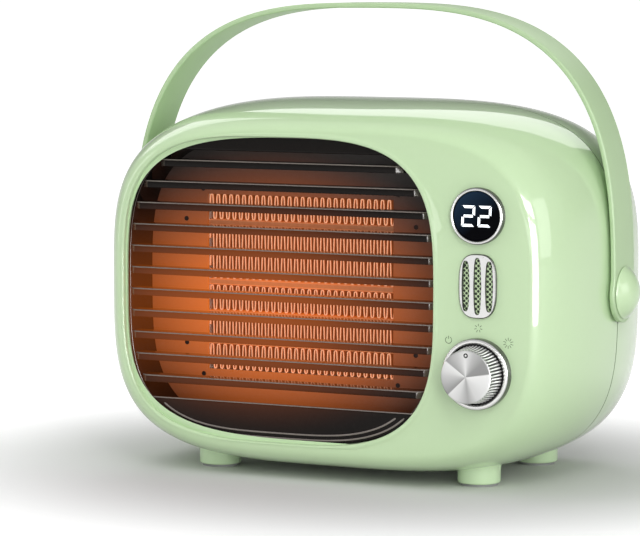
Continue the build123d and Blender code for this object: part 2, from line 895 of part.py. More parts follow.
bracket_screws = small_screws(lug_places, bracket_back, 1, lug_screw_length)
motor_screws = small_screws(motor_places, duct_collar_reach, -1, bracket_thickness + motor_plate_thickness)

with BuildPart() as motor_end_plate:
    with BuildSketch(at(motor_front)):
        with Locations((core_x, core_z)):
            Circle(motor_radius)
            Circle(bush_radius + running_clearance, mode=Mode.SUBTRACT)
        with Locations(*motor_places):
            Circle(pilot_radius, mode=Mode.SUBTRACT)
    extrude(amount=motor_plate_thickness)

with BuildPart() as motor_can:
    with BuildSketch(at(motor_back)):
        with Locations((core_x, core_z)):
            Circle(motor_radius)
    extrude(amount=motor_length)
    with BuildSketch(at(motor_back + motor_wall)):
        with Locations((core_x, core_z)):
            Circle(motor_radius - motor_wall)
    extrude(amount=motor_length, mode=Mode.SUBTRACT)
    with BuildSketch(at(motor_back)):
        with Locations((core_x, core_z)):
            Circle(bush_radius + running_clearance)
    extrude(amount=motor_wall, mode=Mode.SUBTRACT)

stator_outer = motor_radius - motor_wall - stack_clearance
stator_back = motor_front - stator_setback - stator_length
with BuildPart() as motor_stator:
    with BuildSketch(at(stator_back)):
        with Locations((core_x, core_z)):
            Circle(stator_outer)
            Circle(stator_outer - stator_radial, mode=Mode.SUBTRACT)
    extrude(amount=stator_length)

bush_starts = (motor_back, motor_front + motor_plate_thickness - bush_length)
with BuildPart() as motor_bushes:
    for start in bush_starts:
        with BuildSketch(at(start)):
            with Locations((core_x, core_z)):
                Circle(bush_radius)
                Circle(shaft_radius + running_clearance, mode=Mode.SUBTRACT)
        extrude(amount=bush_length)

with BuildPart() as motor_rotor:
    with BuildSketch(at(stator_back + rotor_setback)):
        with Locations((core_x, core_z)):
            Circle(stator_outer - stator_radial - air_gap)
            Circle(shaft_radius + running_clearance, mode=Mode.SUBTRACT)
    extrude(amount=stator_length - 2 * rotor_setback)

hub_back = hub_reach - hub_length
with BuildPart() as motor_shaft:
    with BuildSketch(at(motor_back)):
        with Locations((core_x, core_z)):
            Circle(shaft_radius)
    extrude(amount=hub_reach - hub_cap - motor_back)

blade_start = hub_radius - blade_root
blade_y = seam_y - hub_reach + hub_length / 2
with BuildPart() as fan_impeller:
    with BuildSketch(at(hub_back)):
        with Locations((core_x, core_z)):
            Circle(hub_radius)
    extrude(amount=hub_length)
    fillet(fan_impeller.edges().group_by(Axis.Y)[0], hub_rounding)
    for index in range(blade_count):
        turn = 2 * pi * index / blade_count
        outward = (cos(turn), 0, sin(turn))
        root = (core_x + blade_start * cos(turn), blade_y, core_z + blade_start * sin(turn))
        with BuildSketch(Plane(origin=root, x_dir=(0, 1, 0), z_dir=outward)):
            Rectangle(blade_chord, blade_thickness, rotation=90 - blade_pitch)
        extrude(amount=fan_radius - blade_start)
    with BuildSketch(at(hub_back)):
        with Locations((core_x, core_z)):
            Circle(shaft_radius + running_clearance)
    extrude(amount=hub_length - hub_cap, mode=Mode.SUBTRACT)

# Control board with the parts it carries
with BuildPart() as control_board:
    with BuildSketch(at(board_reach)):
        with Locations((control_x, board_mid)):
            Rectangle(board_width, board_height)
        with Locations(*board_places):
            Circle(small_screw_radius + screw_clearance, mode=Mode.SUBTRACT)
    extrude(amount=board_thickness)

board_screws = small_screws(board_places, board_reach, 1, small_screw_length)

lens_back = front_depth + bezel_ledge + running_clearance
with BuildPart() as display_module:
    with BuildSketch(at(board_front)):
        with Locations((control_x, display_height)):
            Rectangle(display_module_width, display_module_height)
    extrude(amount=lens_back - running_clearance - board_front)

with BuildPart() as display_bezel:
    with BuildSketch(at(front_inside - cut_margin)):
        with Locations((control_x, display_height)):
            Circle(bezel_sleeve_radius)
    extrude(amount=wall + cut_margin)
    with BuildSketch(at(front_depth)):
        with Locations((control_x, display_height)):
            Circle(bezel_radius)
    extrude(amount=bezel_proud)
    chamfer(display_bezel.edges().group_by(Axis.Y)[0], bezel_proud / 4)
    with BuildSketch(at(front_inside - cut_margin)):
        with Locations((control_x, display_height)):
            Circle(bezel_ledge_bore)
    extrude(amount=wall + cut_margin + bezel_proud, mode=Mode.SUBTRACT)
    with BuildSketch(at(front_depth + bezel_ledge)):
        with Locations((control_x, display_height)):
            Circle(bezel_bore)
    extrude(amount=bezel_proud, mode=Mode.SUBTRACT)

with BuildPart() as display_lens:
    with BuildSketch(at(lens_back)):
        with Locations((control_x, display_height)):
            Circle(bezel_bore - lens_clearance)
    extrude(amount=lens_thickness)
    chamfer(display_lens.edges().group_by(Axis.Y)[0], lens_thickness / 4)

with BuildPart() as vent_trim:
    with BuildSketch(at(front_depth)):
        with BuildLine():
            vent_outline(0)
        make_face()
        with Locations((control_x, vent_height)):
            SlotOverall(vent_center_slot[1], vent_center_slot[0], rotation=90, mode=Mode.SUBTRACT)
            with GridLocations(2 * vent_slot_pitch, vent_slot_pitch, 2, 1):
                SlotOverall(vent_side_slot[1], vent_side_slot[0], rotation=90, mode=Mode.SUBTRACT)
    extrude(amount=vent_thickness)

mesh_columns = int((vent_width - 2 * vent_border) / mesh_pitch) - 2
mesh_rows = int((vent_length - 2 * vent_border) / mesh_pitch) - 2
with BuildPart() as vent_mesh:
    with BuildSketch(at(front_depth - mesh_thickness)):
        with BuildLine():
            vent_outline(vent_border + grille_clearance)
        make_face()
        with Locations((control_x, vent_height)):
            with GridLocations(mesh_pitch, mesh_pitch, mesh_columns, mesh_rows):
                Circle(mesh_hole_radius, mode=Mode.SUBTRACT)
    extrude(amount=mesh_thickness)

with BuildPart() as room_sensor:
    with BuildSketch(at(board_front)):
        with Locations((control_x, vent_height)):
            Circle(sensor_radius)
    extrude(amount=sensor_length)
    fillet(room_sensor.edges().group_by(Axis.Y)[0], sensor_radius / 2)

with BuildPart() as tilt_switch:
    with BuildSketch(at(board_reach)):
        with Locations((control_x, tilt_switch_height)):
            Rectangle(tilt_switch_size, tilt_switch_size)
    extrude(amount=-tilt_switch_size)

# Rotary switch, its shaft, and the knob with its ring and dish
switch_front = front_inside - screw_clearance
dish_front = front_depth + dish_thickness
nut_front = dish_front + switch_nut_thickness
knob_back = front_depth + knob_lift
shaft_back = switch_front - switch_shaft_depth
shaft_front = front_reach - knob_cap
with BuildPart() as rotary_switch:
    with BuildSketch(at(board_front)):
        with Locations((control_x, knob_height)):
            Rectangle(switch_size, switch_size)
    extrude(amount=switch_front - board_front)
    with BuildSketch(at(switch_front)):
        with Locations((control_x, knob_height)):
            Circle(switch_bush_radius)
    extrude(amount=nut_front - switch_front)
    with BuildSketch(at(shaft_back - cut_margin)):
        with Locations((control_x, knob_height)):
            Circle(switch_shaft_radius + running_clearance)
    extrude(amount=nut_front - shaft_back + cut_margin, mode=Mode.SUBTRACT)

with BuildPart() as switch_nut:
    with BuildSketch(at(dish_front)):
        with Locations((control_x, knob_height)):
            RegularPolygon(switch_nut_size, 6)
            Circle(switch_bush_radius + running_clearance, mode=Mode.SUBTRACT)
    extrude(amount=switch_nut_thickness)

with BuildPart() as switch_shaft:
    with BuildSketch(at(shaft_back)):
        with Locations((control_x, knob_height)):
            Circle(switch_shaft_radius)
    extrude(amount=shaft_front - shaft_back)

with BuildPart() as knob_dish:
    with BuildSketch(at(front_depth)):
        with Locations((control_x, knob_height)):
            Circle(ring_bore - running_clearance)
            Circle(switch_hole, mode=Mode.SUBTRACT)
    extrude(amount=dish_thickness)

with BuildPart() as knob_ring:
    with BuildSketch(at(front_depth)):
        with Locations((control_x, knob_height)):
            Circle(ring_radius)
            Circle(ring_bore, mode=Mode.SUBTRACT)
    extrude(amount=ring_proud)
    fillet(knob_ring.edges().group_by(Axis.Y)[0], ring_rounding)

with BuildPart() as knob:
    with BuildSketch(at(knob_back)):
        with Locations((control_x, knob_height)):
            Circle(knob_radius)
    extrude(amount=front_reach - knob_back)
    chamfer(knob.edges().group_by(Axis.Y)[0], knob_face_bevel)
    with BuildSketch(at(knob_back)):
        with Locations((control_x, knob_height)):
            with PolarLocations(knob_radius, knob_flutes):
                Circle(flute_radius)
    extrude(amount=front_reach - knob_back - 2 * knob_face_bevel, mode=Mode.SUBTRACT)
    with BuildSketch(at(knob_back)):
        with Locations((control_x, knob_height)):
            Circle(knob_recess_radius)
    extrude(amount=knob_recess_depth, mode=Mode.SUBTRACT)
    with BuildSketch(at(knob_back)):
        with Locations((control_x, knob_height)):
            Circle(switch_shaft_radius + running_clearance)
    extrude(amount=shaft_front - knob_back, mode=Mode.SUBTRACT)
    with BuildSketch(at(front_reach)):
        with Locations((control_x, knob_height + knob_radius - knob_dimple_inset)):
            Circle(knob_dimple_radius)
    extrude(amount=-knob_dimple_depth, mode=Mode.SUBTRACT)

# Carrying handle: a flat strap bent in an arch, with a round eye at each pivot
eye_inner = half_width + handle_gap
eye_outer = eye_inner + handle_thickness
arch_rise = handle_top - widest_height


# Upper half of the arch, as five tangent arcs from pivot to pivot
def arch(inset):
    side_radius = handle_side_bow - inset
    end_radius = handle_end_bow - inset
    turn = handle_shoulder - inset
    side = eye_outer - handle_side_bow
    corner_x, corner_z, side_angle, end_angle = corner_place(
        eye_outer - inset, arch_rise - inset, side_radius, end_radius, turn
    )
    CenterArc((side, widest_height), side_radius, 0, side_angle)
    CenterArc((corner_x, widest_height + corner_z), turn, side_angle, end_angle - side_angle)
    CenterArc((0, handle_top - handle_end_bow), end_radius, end_angle, 180 - 2 * end_angle)
    CenterArc((-corner_x, widest_height + corner_z), turn, 180 - end_angle, end_angle - side_angle)
    CenterArc((-side, widest_height), side_radius, 180 - side_angle, side_angle)


with BuildPart() as handle:
    with BuildSketch(at(0)):
        with BuildLine():
            arch(0)
            arch(handle_thickness)
            Line((eye_inner, widest_height), (eye_outer, widest_height))
            Line((-eye_inner, widest_height), (-eye_outer, widest_height))
        make_face()
    extrude(amount=handle_width / 2, both=True)
    strap_edges = handle.edges().filter_by(GeomType.CIRCLE)
    chamfer(strap_edges, handle_bevel)
    for side in (-1, 1):
        with BuildSketch(pivot_plane(side, eye_inner)):
            Circle(handle_eye_radius)
        extrude(amount=handle_thickness)
    add(pivot_holes(), mode=Mode.SUBTRACT)


# Sleeve through the side wall that the handle's eye turns on
def pivot_bush(side):
    flange_start = half_width - wall - pivot_pad_thickness - pivot_flange_thickness
    with BuildPart() as bush:
        with BuildSketch(pivot_plane(side, flange_start)):
            Circle(pivot_flange_radius)
        extrude(amount=pivot_flange_thickness)
        with BuildSketch(pivot_plane(side, flange_start)):
            Circle(pivot_radius)
        extrude(amount=eye_outer + cap_gap / 2 - flange_start)
        with BuildSketch(pivot_plane(side, flange_start)):
            Circle(pivot_bore)
        extrude(amount=eye_outer + cap_gap - flange_start, mode=Mode.SUBTRACT)
    return bush


# Domed cap whose stem plugs into the sleeve
def pivot_cap(side):
    stem_start = half_width - wall - pivot_pad_thickness
    dome_start = eye_outer + cap_gap
    dome_radius = (cap_radius**2 + cap_height**2) / (2 * cap_height)
    dome_center = dome_start + cap_height - dome_radius
    halfway = atan2(cap_radius, dome_start - dome_center) / 2
    middle_rise = dome_radius * sin(halfway)
    stem = pivot_bore - running_clearance
    with BuildPart() as cap:
        with BuildSketch(at(0)):
            with BuildLine():
                Polyline(
                    (side * (dome_start + cap_height), widest_height),
                    (side * stem_start, widest_height),
                    (side * stem_start, widest_height + stem),
                    (side * dome_start, widest_height + stem),
                    (side * dome_start, widest_height + cap_radius),
                )
                ThreePointArc(
                    (side * dome_start, widest_height + cap_radius),
                    (side * (dome_center + dome_radius * cos(halfway)), widest_height + middle_rise),
                    (side * (dome_start + cap_height), widest_height),
                )
            make_face()
        revolve(axis=Axis((0, seam_y, widest_height), (1, 0, 0)))
    return cap


left_pivot_bush = pivot_bush(-1)
right_pivot_bush = pivot_bush(1)
left_pivot_cap = pivot_cap(-1)
right_pivot_cap = pivot_cap(1)

with BuildPart() as pivot_washers:
    for side in (-1, 1):
        with BuildSketch(pivot_plane(side, half_width + running_clearance)):
            Circle(washer_radius)
            Circle(pivot_radius + running_clearance, mode=Mode.SUBTRACT)
        extrude(amount=washer_thickness)

with BuildPart() as foot_pads:
    with BuildSketch(Plane.XY):
        for reach in (front_foot_reach, rear_foot_reach):
            with Locations((-foot_side, seam_y - reach), (foot_side, seam_y - reach)):
                Circle(foot_radius - pad_inset)
    extrude(amount=pad_thickness)

# Dust filter, cord gland and terminal block inside the rear cover
with BuildPart() as dust_filter:
    with BuildSketch(at(-rear_inside)):
        with Locations((0, core_z)):
            Rectangle(filter_width, filter_height)
    extrude(amount=filter_thickness)

with BuildPart() as cord_gland:
    with BuildSketch(at(-rear_reach)):
        with Locations((gland_side, gland_height)):
            Circle(gland_flange_radius)
    extrude(amount=gland_proud)
    chamfer(cord_gland.edges().group_by(Axis.Y)[-1], gland_proud / 3)
    with BuildSketch(at(-rear_depth)):
        with Locations((gland_side, gland_height)):
            Circle(gland_radius - running_clearance)
    extrude(amount=wall + gland_inner_length)
    with BuildSketch(at(-rear_reach)):
        with Locations((gland_side, gland_height)):
            SlotOverall(cord_width, cord_thickness)
    extrude(amount=gland_proud + wall + gland_inner_length, mode=Mode.SUBTRACT)

terminal_z = board_mid - board_height / 2 + terminal_lift
terminal_front = -rear_inside + terminal_depth
with BuildPart() as terminal_block:
    with BuildSketch(at(-rear_inside)):
        with Locations((terminal_side, terminal_z)):
            Rectangle(terminal_width, terminal_height)
    extrude(amount=terminal_depth)

housing_screws = screw_group(
    post_places(),
    -well_seat,
    1,
    housing_screw_radius,
    housing_screw_head,
    housing_screw_head_height,
    well_seat + front_post_start + housing_screw_bite,
)


# A lead that runs sideways from a start, turns forward in one bend and ends at the board
def bent_lead(start_x, start_reach, side_x, height):
    end_reach = board_reach - lead_end_gap
    with BuildPart() as lead:
        with BuildLine() as path:
            FilletPolyline(
                (start_x, seam_y - start_reach, height),
                (side_x, seam_y - start_reach, height),
                (side_x, seam_y - end_reach, height),
                radius=lead_bend,
            )
        with BuildSketch(Plane(origin=path.line @ 0, z_dir=path.line % 0)):
            Circle(lead_radius)
        sweep()
    return lead.part


with BuildPart() as heater_leads:
    for height in strip_heights:
        add(bent_lead(tab_end + lead_end_gap, tab_reach, control_x, height))

with BuildPart() as motor_leads:
    for way in (-1, 1):
        lead_z = core_z + way * lead_spread / 2
        lead_start = core_x + sqrt(motor_radius**2 - (lead_spread / 2 - lead_radius) ** 2)
        add(bent_lead(lead_start + lead_end_gap, motor_front - motor_length / 2, motor_lead_side, lead_z))

with BuildPart() as mains_leads:
    with BuildSketch(at(terminal_front)):
        with Locations((terminal_side, terminal_z)):
            with GridLocations(lead_spread, lead_spread, 2, 1):
                Circle(lead_radius)
    extrude(amount=board_reach - lead_end_gap - terminal_front)

pieces = {
    "front_housing": front_housing,
    "rear_cover": rear_cover,
    "front_grille": front_grille,
    "baffle_plate": baffle_plate,
    "baffle_screws": baffle_screws,
    "ptc_frame": ptc_frame,
    "ptc_stones": ptc_stones,
    "electrode_plates": electrode_plates,
    "heating_fins": heating_fins,
    "fin_dividers": fin_dividers,
    "frame_screws": frame_screws,
    "air_duct": air_duct,
    "duct_screws": duct_screws,
    "thermal_cutout": thermal_cutout,
    "thermal_fuse": thermal_fuse,
    "motor_bracket": motor_bracket,
    "bracket_screws": bracket_screws,
    "motor_screws": motor_screws,
    "motor_end_plate": motor_end_plate,
    "motor_can": motor_can,
    "motor_stator": motor_stator,
    "motor_bushes": motor_bushes,
    "motor_rotor": motor_rotor,
    "motor_shaft": motor_shaft,
    "fan_impeller": fan_impeller,
    "control_board": control_board,
    "board_screws": board_screws,
    "display_module": display_module,
    "display_bezel": display_bezel,
    "display_lens": display_lens,
    "vent_trim": vent_trim,
    "vent_mesh": vent_mesh,
    "room_sensor": room_sensor,
    "tilt_switch": tilt_switch,
    "rotary_switch": rotary_switch,
    "switch_nut": switch_nut,
    "switch_shaft": switch_shaft,
    "knob_dish": knob_dish,
    "knob_ring": knob_ring,
    "knob": knob,
    "handle": handle,
    "left_pivot_bush": left_pivot_bush,
    "right_pivot_bush": right_pivot_bush,
    "left_pivot_cap": left_pivot_cap,
    "right_pivot_cap": right_pivot_cap,
    "pivot_washers": pivot_washers,
    "foot_pads": foot_pads,
    "dust_filter": dust_filter,
    "cord_gland": cord_gland,
    "terminal_block": terminal_block,
    "housing_screws": housing_screws,
    "heater_leads": heater_leads,
    "motor_leads": motor_leads,
    "mains_leads": mains_leads,
}
for name, piece in pieces.items():
    piece.part.label = name
    export_step(piece.part, f"parts/{name}.step")
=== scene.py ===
import math

import bmesh
import bpy
import numpy as np
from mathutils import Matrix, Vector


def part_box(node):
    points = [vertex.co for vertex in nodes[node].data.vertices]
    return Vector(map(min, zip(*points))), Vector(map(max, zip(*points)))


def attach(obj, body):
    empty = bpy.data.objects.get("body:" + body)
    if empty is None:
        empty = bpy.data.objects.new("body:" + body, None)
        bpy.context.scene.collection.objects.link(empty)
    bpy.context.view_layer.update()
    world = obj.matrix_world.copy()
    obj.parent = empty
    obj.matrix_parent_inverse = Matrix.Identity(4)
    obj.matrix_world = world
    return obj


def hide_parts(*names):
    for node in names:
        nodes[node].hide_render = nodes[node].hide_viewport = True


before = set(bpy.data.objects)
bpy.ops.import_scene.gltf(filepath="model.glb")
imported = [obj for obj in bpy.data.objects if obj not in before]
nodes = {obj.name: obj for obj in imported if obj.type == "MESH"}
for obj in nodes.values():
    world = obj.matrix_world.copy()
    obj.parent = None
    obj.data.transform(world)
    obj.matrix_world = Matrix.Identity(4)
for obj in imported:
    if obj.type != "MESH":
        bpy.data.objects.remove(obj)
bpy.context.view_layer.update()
print("frame loaded:", len(nodes), "nodes")

handleLow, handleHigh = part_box("handle")
seamY = 500 * (handleLow.y + handleHigh.y)  # millimetres, as all sizes below
axisRadius = 0.01  # where a turned profile starts and ends, so that its middle stays closed


# Meshes

# A grid of rings becomes quads: each ring joins the next, and the first again where it wraps
def ringQuads(ringCount, pointCount, wrapRings=True, wrapPoints=True):
    ring = np.arange(ringCount if wrapRings else ringCount - 1)[:, None]
    point = np.arange(pointCount if wrapPoints else pointCount - 1)[None, :]
    nextRing = (ring + 1) % ringCount
    nextPoint = (point + 1) % pointCount
    corners = [ring * pointCount + point, ring * pointCount + nextPoint,
               nextRing * pointCount + nextPoint, nextRing * pointCount + point]
    return np.stack(np.broadcast_arrays(*corners), -1).reshape(-1, 4)


# Quads that close both ends of a strip whose section has an even number of points
def endCaps(ringCount, sectionCount):
    return np.array([[base + k, base + k + 1, base + sectionCount - 2 - k, base + sectionCount - 1 - k]
                     for base in (0, (ringCount - 1) * sectionCount) for k in range(sectionCount // 2 - 1)])


# Sections in a row, closed at both ends: an array of (section, point, xyz) becomes points and quads
def closedStrip(sections):
    count, size = sections.shape[:2]
    quads = np.concatenate([ringQuads(count, size, wrapRings=False), endCaps(count, size)])
    return sections.reshape(-1, 3), quads


def closedMesh(name, points, quads, triangles=()):
    mesh = bpy.data.meshes.new(name)
    faces = np.asarray(quads).tolist() + np.asarray(triangles).tolist()
    mesh.from_pydata((np.asarray(points) * 0.001).tolist(), [], faces)
    work = bmesh.new()
    work.from_mesh(mesh)
    bmesh.ops.remove_doubles(work, verts=work.verts, dist=1e-6)
    bmesh.ops.recalc_face_normals(work, faces=work.faces)
    work.to_mesh(mesh)
    work.free()
    return mesh


def addPiece(name, points, quads, body, slotName, material, sharp=40.0, triangles=()):
    mesh = closedMesh(name, points, quads, triangles)
    mesh.polygons.foreach_set("use_smooth", np.ones(len(mesh.polygons), bool))
    mesh.set_sharp_from_angle(angle=math.radians(sharp))
    mesh.materials.append(material)
    piece = bpy.data.objects.new(name, mesh)
    bpy.context.scene.collection.objects.link(piece)
    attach(piece, body)
    return piece


# Normals of a piece's faces, or their centres in millimetres
def faceRows(piece, what):
    rows = np.zeros(len(piece.data.polygons) * 3)
    piece.data.polygons.foreach_get(what, rows)
    return rows.reshape(-1, 3) * (1000 if what == "center" else 1)


# Gives the chosen faces of a piece a finish of their own
def paintFaces(piece, material, chosen):
    mesh = piece.data
    mesh.materials.append(material)
    index = np.zeros(len(mesh.polygons), np.int32)
    mesh.polygons.foreach_get("material_index", index)
    index[chosen] = len(mesh.materials) - 1
    mesh.polygons.foreach_set("material_index", index)


# Joins two loops of unlike counts with triangles, walked by turn, each point meeting the last one opposite
def zipLoops(turnA, startA, turnB, startB):
    order = np.argsort(np.concatenate([turnA, turnB]), kind="stable")
    onA = order < len(turnA)
    seenA, seenB = np.cumsum(onA), np.cumsum(~onA)
    thisA = startA + (seenA - 1) % len(turnA)
    thisB = startB + (seenB - 1) % len(turnB)
    before = np.where(onA, startA + (seenA - 2) % len(turnA), startB + (seenB - 2) % len(turnB))
    return np.stack([thisA, thisB, before], -1)


# Stacks rings of (x, reach, z) into frame points: reach is measured forward from the seam
def stackRings(rings):
    x = np.stack([ring[0] for ring in rings])
    reach = np.stack([np.broadcast_to(ring[1], ring[0].shape) for ring in rings])
    z = np.stack([ring[2] for ring in rings])
    return np.stack([x, seamY - reach, z], -1).reshape(-1, 3)


def fullTurn(steps):
    return np.linspace(0, 2 * np.pi, steps, endpoint=False)


# A ring of (x, reach, z): rays round a middle
def polarRing(ray, turn, reach=0.0, middle=(0, 0)):
    return middle[0] + ray * np.cos(turn), reach, middle[1] + ray * np.sin(turn)


# Rings that close on themselves both ways
def closedRings(rings):
    return stackRings(rings), ringQuads(len(rings), len(rings[0][0]))


# Polar radius of a rounded box: ((|cos|/wide)^n + (|sin|/tall)^n)^(-1/n), tall being its own above and below
def roundedRadius(turn, wide, high, low, power):
    tall = np.where(np.sin(turn) >= 0, high, low)
    return ((np.abs(np.cos(turn)) / wide) ** power + (np.abs(np.sin(turn)) / tall) ** power) ** (-1 / power)


# Turned piece: a closed profile of (radius, height along the axis) carried round it; wave cuts flutes into it
def turnedPoints(profile, centre, axis, steps, wave=None):
    radius, along = np.array(profile, float).T
    turn = fullTurn(steps)
    ray = radius[:, None] * np.ones(steps)
    if wave is not None:
        ray = ray - wave(radius[:, None], along[:, None], turn[None, :])
    across, up = ray * np.cos(turn), ray * np.sin(turn)
    length = along[:, None] * np.ones(steps)
    if axis == "depth":  # along is a reach
        points = [centre[0] + across, seamY - length, centre[1] + up]
    elif axis == "side":  # along is an x
        points = [length, seamY + across, centre[1] + up]
    else:  # upright: along is a height
        points = [centre[0] + across, centre[1] + up, length]
    return np.stack(points, -1).reshape(-1, 3), ringQuads(len(profile), steps)


def joined(parts):
    counts = np.cumsum([0] + [len(points) for points, _ in parts[:-1]])
    quads = np.concatenate([quads + count for (_, quads), count in zip(parts, counts)])
    return np.concatenate([points for points, _ in parts]), quads


# Quarter turn of a small rounded edge between two points of a profile
def roundEdge(startPoint, corner, endPoint, steps=5):
    share = np.linspace(0, 1, steps)[:, None]
    a, b, c = (np.array(p, float) for p in (startPoint, corner, endPoint))
    return ((1 - share) ** 2 * a + 2 * share * (1 - share) * b + share ** 2 * c).tolist()


# Materials

def blank(name):
    material = bpy.data.materials.new(name)
    material.use_nodes = True
    return material, material.node_tree, material.node_tree.nodes["Principled BSDF"]


# Sets a node's sockets, each by a link or by a value
def fill(tree, node, inputs):
    for key, value in inputs.items():
        if isinstance(value, bpy.types.NodeSocket):
            tree.links.new(value, node.inputs[key])
        else:
            node.inputs[key].default_value = value


def put(tree, kind, inputs=None, **settings):
    node = tree.nodes.new(kind)
    for key, value in settings.items():
        setattr(node, key, value)
    fill(tree, node, inputs or {})
    return node


def objectPlace(tree):
    return put(tree, "ShaderNodeTexCoord").outputs["Object"]


def vectorStep(tree, operation, first, second=(0, 0, 0)):
    node = put(tree, "ShaderNodeVectorMath", {0: first, 1: second}, operation=operation)
    return node.outputs["Value" if operation in ("LENGTH", "DOT_PRODUCT") else "Vector"]


def scaledLength(tree, vector, scale):
    return vectorStep(tree, "LENGTH", vectorStep(tree, "MULTIPLY", vector, scale))


def mathStep(tree, operation, first, second=0.0):
    return put(tree, "ShaderNodeMath", {0: first, 1: second}, operation=operation).outputs["Value"]


def rangeStep(tree, value, low=0.0, high=1.0, toLow=0.0, toHigh=1.0, kind="LINEAR"):
    sockets = {"Value": value, "From Min": low, "From Max": high, "To Min": toLow, "To Max": toHigh}
    return put(tree, "ShaderNodeMapRange", sockets, interpolation_type=kind).outputs["Result"]


def mixShade(tree, factor, first, second):
    sockets = {"Factor": factor, "A": first, "B": second}
    return put(tree, "ShaderNodeMix", sockets, data_type="RGBA").outputs["Result"]


def rampShade(tree, factor, stops):
    node = put(tree, "ShaderNodeValToRGB", {"Fac": factor})
    elements = node.color_ramp.elements
    while len(elements) < len(stops):
        elements.new(0.5)
    for element, (spot, colour) in zip(elements, stops):
        element.position = spot
        element.color = (*colour, 1)
    return node.outputs["Color"]


# Noise in object space moves the colour between two shades, the roughness in a band, and a small bump
def noisyFinish(name, shade, otherShade, rough, grain, bump=0.0, metal=0.0, depth=0.0002, **sockets):
    material, tree, surface = blank(name)
    noise = put(tree, "ShaderNodeTexNoise", {"Vector": objectPlace(tree), "Scale": grain, "Detail": 4.0})
    level = noise.outputs["Fac"]
    fill(tree, surface, {"Base Color": mixShade(tree, level, (*shade, 1), (*otherShade, 1)),
                         "Roughness": rangeStep(tree, level, toLow=rough[0], toHigh=rough[1]),
                         "Metallic": metal})
    if bump:
        relief = put(tree, "ShaderNodeBump", {"Height": level, "Strength": bump, "Distance": depth})
        fill(tree, surface, {"Normal": relief.outputs["Normal"]})
    fill(tree, surface, {key.replace("_", " "): value for key, value in sockets.items()})
    return material


def shadePair(colour, spread):
    return tuple(c * (1 - spread) for c in colour), tuple(min(1.0, c * (1 + spread)) for c in colour)


# Two shades, a band of roughness, the grain's scale, then the bump and how far it is metal
plainFinishes = {
    # A painted highlight for the slats' edges and raised lines, and a painted reflection for the slats' ends
    "slatHighlight": ((0.17, 0.145, 0.13), (0.24, 0.21, 0.19), (0.2, 0.3), 600.0),
    "slatTailSheen": ((0.055, 0.045, 0.038), (0.085, 0.07, 0.06), (0.15, 0.25), 600.0),
    "blackScrew": ((0.03, 0.02, 0.018), (0.05, 0.035, 0.03), (0.4, 0.5), 900.0, 0.0, 0.5),
    "steelPlain": (*shadePair((0.56, 0.56, 0.57), 0.08), (0.28, 0.42), 900.0, 0.0, 1.0),
    "ironCore": ((0.16, 0.13, 0.11), (0.28, 0.20, 0.15), (0.45, 0.6), 700.0, 0.2, 0.7),
    "bronzeBush": ((0.50, 0.33, 0.14), (0.66, 0.46, 0.22), (0.3, 0.45), 900.0, 0.0, 1.0),
    "blackPlastic": ((0.018, 0.018, 0.018), (0.03, 0.03, 0.03), (0.4, 0.55), 900.0, 0.1),
    "paleMoulding": ((0.62, 0.60, 0.54), (0.74, 0.72, 0.66), (0.5, 0.65), 500.0, 0.08),
    "firedCeramic": ((0.40, 0.20, 0.11), (0.54, 0.30, 0.18), (0.6, 0.75), 900.0, 0.15),
    # The plates' and dividers' orange colour is painted glow
    "glowOrangeMetal": ((0.66, 0.30, 0.15), (0.78, 0.38, 0.20), (0.45, 0.6), 1200.0),
    "baffleSheet": ((0.045, 0.038, 0.035), (0.07, 0.06, 0.055), (0.4, 0.55), 700.0, 0.1),
    "boardMask": ((0.02, 0.13, 0.05), (0.04, 0.19, 0.08), (0.3, 0.4), 400.0),
    "silverTrim": (*shadePair((0.84, 0.84, 0.83), 0.04), (0.24, 0.34), 1400.0, 0.05, 1.0, 0.00003),
    # Painted shade for the vent trim's edge and slots
    "trimEdgeShade": ((0.03, 0.035, 0.025), (0.06, 0.07, 0.05), (0.3, 0.4), 900.0),
    "meshSheet": ((0.52, 0.68, 0.40), (0.60, 0.76, 0.46), (0.35, 0.45), 900.0),
    # Painted shade for the sheet behind the vent mesh
    "meshShade": ((0.010, 0.018, 0.008), (0.016, 0.026, 0.013), (0.7, 0.9), 900.0),
    "nylonPale": ((0.52, 0.60, 0.45), (0.60, 0.68, 0.52), (0.4, 0.5), 500.0, 0.05),
    "rubberGrey": ((0.24, 0.25, 0.24), (0.33, 0.34, 0.33), (0.6, 0.8), 1200.0, 0.3),
    "filterCloth": ((0.05, 0.05, 0.05), (0.14, 0.14, 0.14), (0.8, 0.95), 1500.0, 0.6),
    "leadCover": ((0.48, 0.45, 0.41), (0.60, 0.57, 0.52), (0.6, 0.75), 1800.0, 0.3),
    "seamShade": ((0.13, 0.19, 0.10), (0.16, 0.23, 0.12), (0.6, 0.7), 800.0),
    "iconInk": ((0.10, 0.17, 0.08), (0.13, 0.21, 0.10), (0.3, 0.4), 800.0),
}
finish = {name: noisyFinish(name, *row) for name, row in plainFinishes.items()}
mintShell = noisyFinish("mintShell", *shadePair((0.545, 0.720, 0.440), 0.012), (0.30, 0.38), 420.0, 0.02,
                        depth=0.00004, Specular_IOR_Level=0.2, Coat_Weight=1.0, Coat_Roughness=0.01)
# The feet's paler mint is painted light: a lit copy of the shell's colour
mintFootLit = noisyFinish("mintFootLit", *shadePair((0.625, 0.805, 0.520), 0.015), (0.2, 0.28), 420.0, 0.03,
                       depth=0.00005, Coat_Weight=0.3, Coat_Roughness=0.03)
mintHandle = noisyFinish("mintHandle", *shadePair((0.455, 0.610, 0.365), 0.015), (0.36, 0.44), 420.0, 0.03,
                         depth=0.00005, Specular_IOR_Level=0.3)
blackGrille = noisyFinish("blackGrille", *shadePair((0.0085, 0.0068, 0.006), 0.25), (0.13, 0.19), 600.0, 0.03,
                          depth=0.00005, Specular_IOR_Level=0.12)

paintedGlow = {"centre": (-0.038, 0.0, 0.084), "scale": (8.6, 0.0, 12.6), "slatScale": (8.6, 0.0, 15.5),
          "colour": (1.0, 0.205, 0.018)}
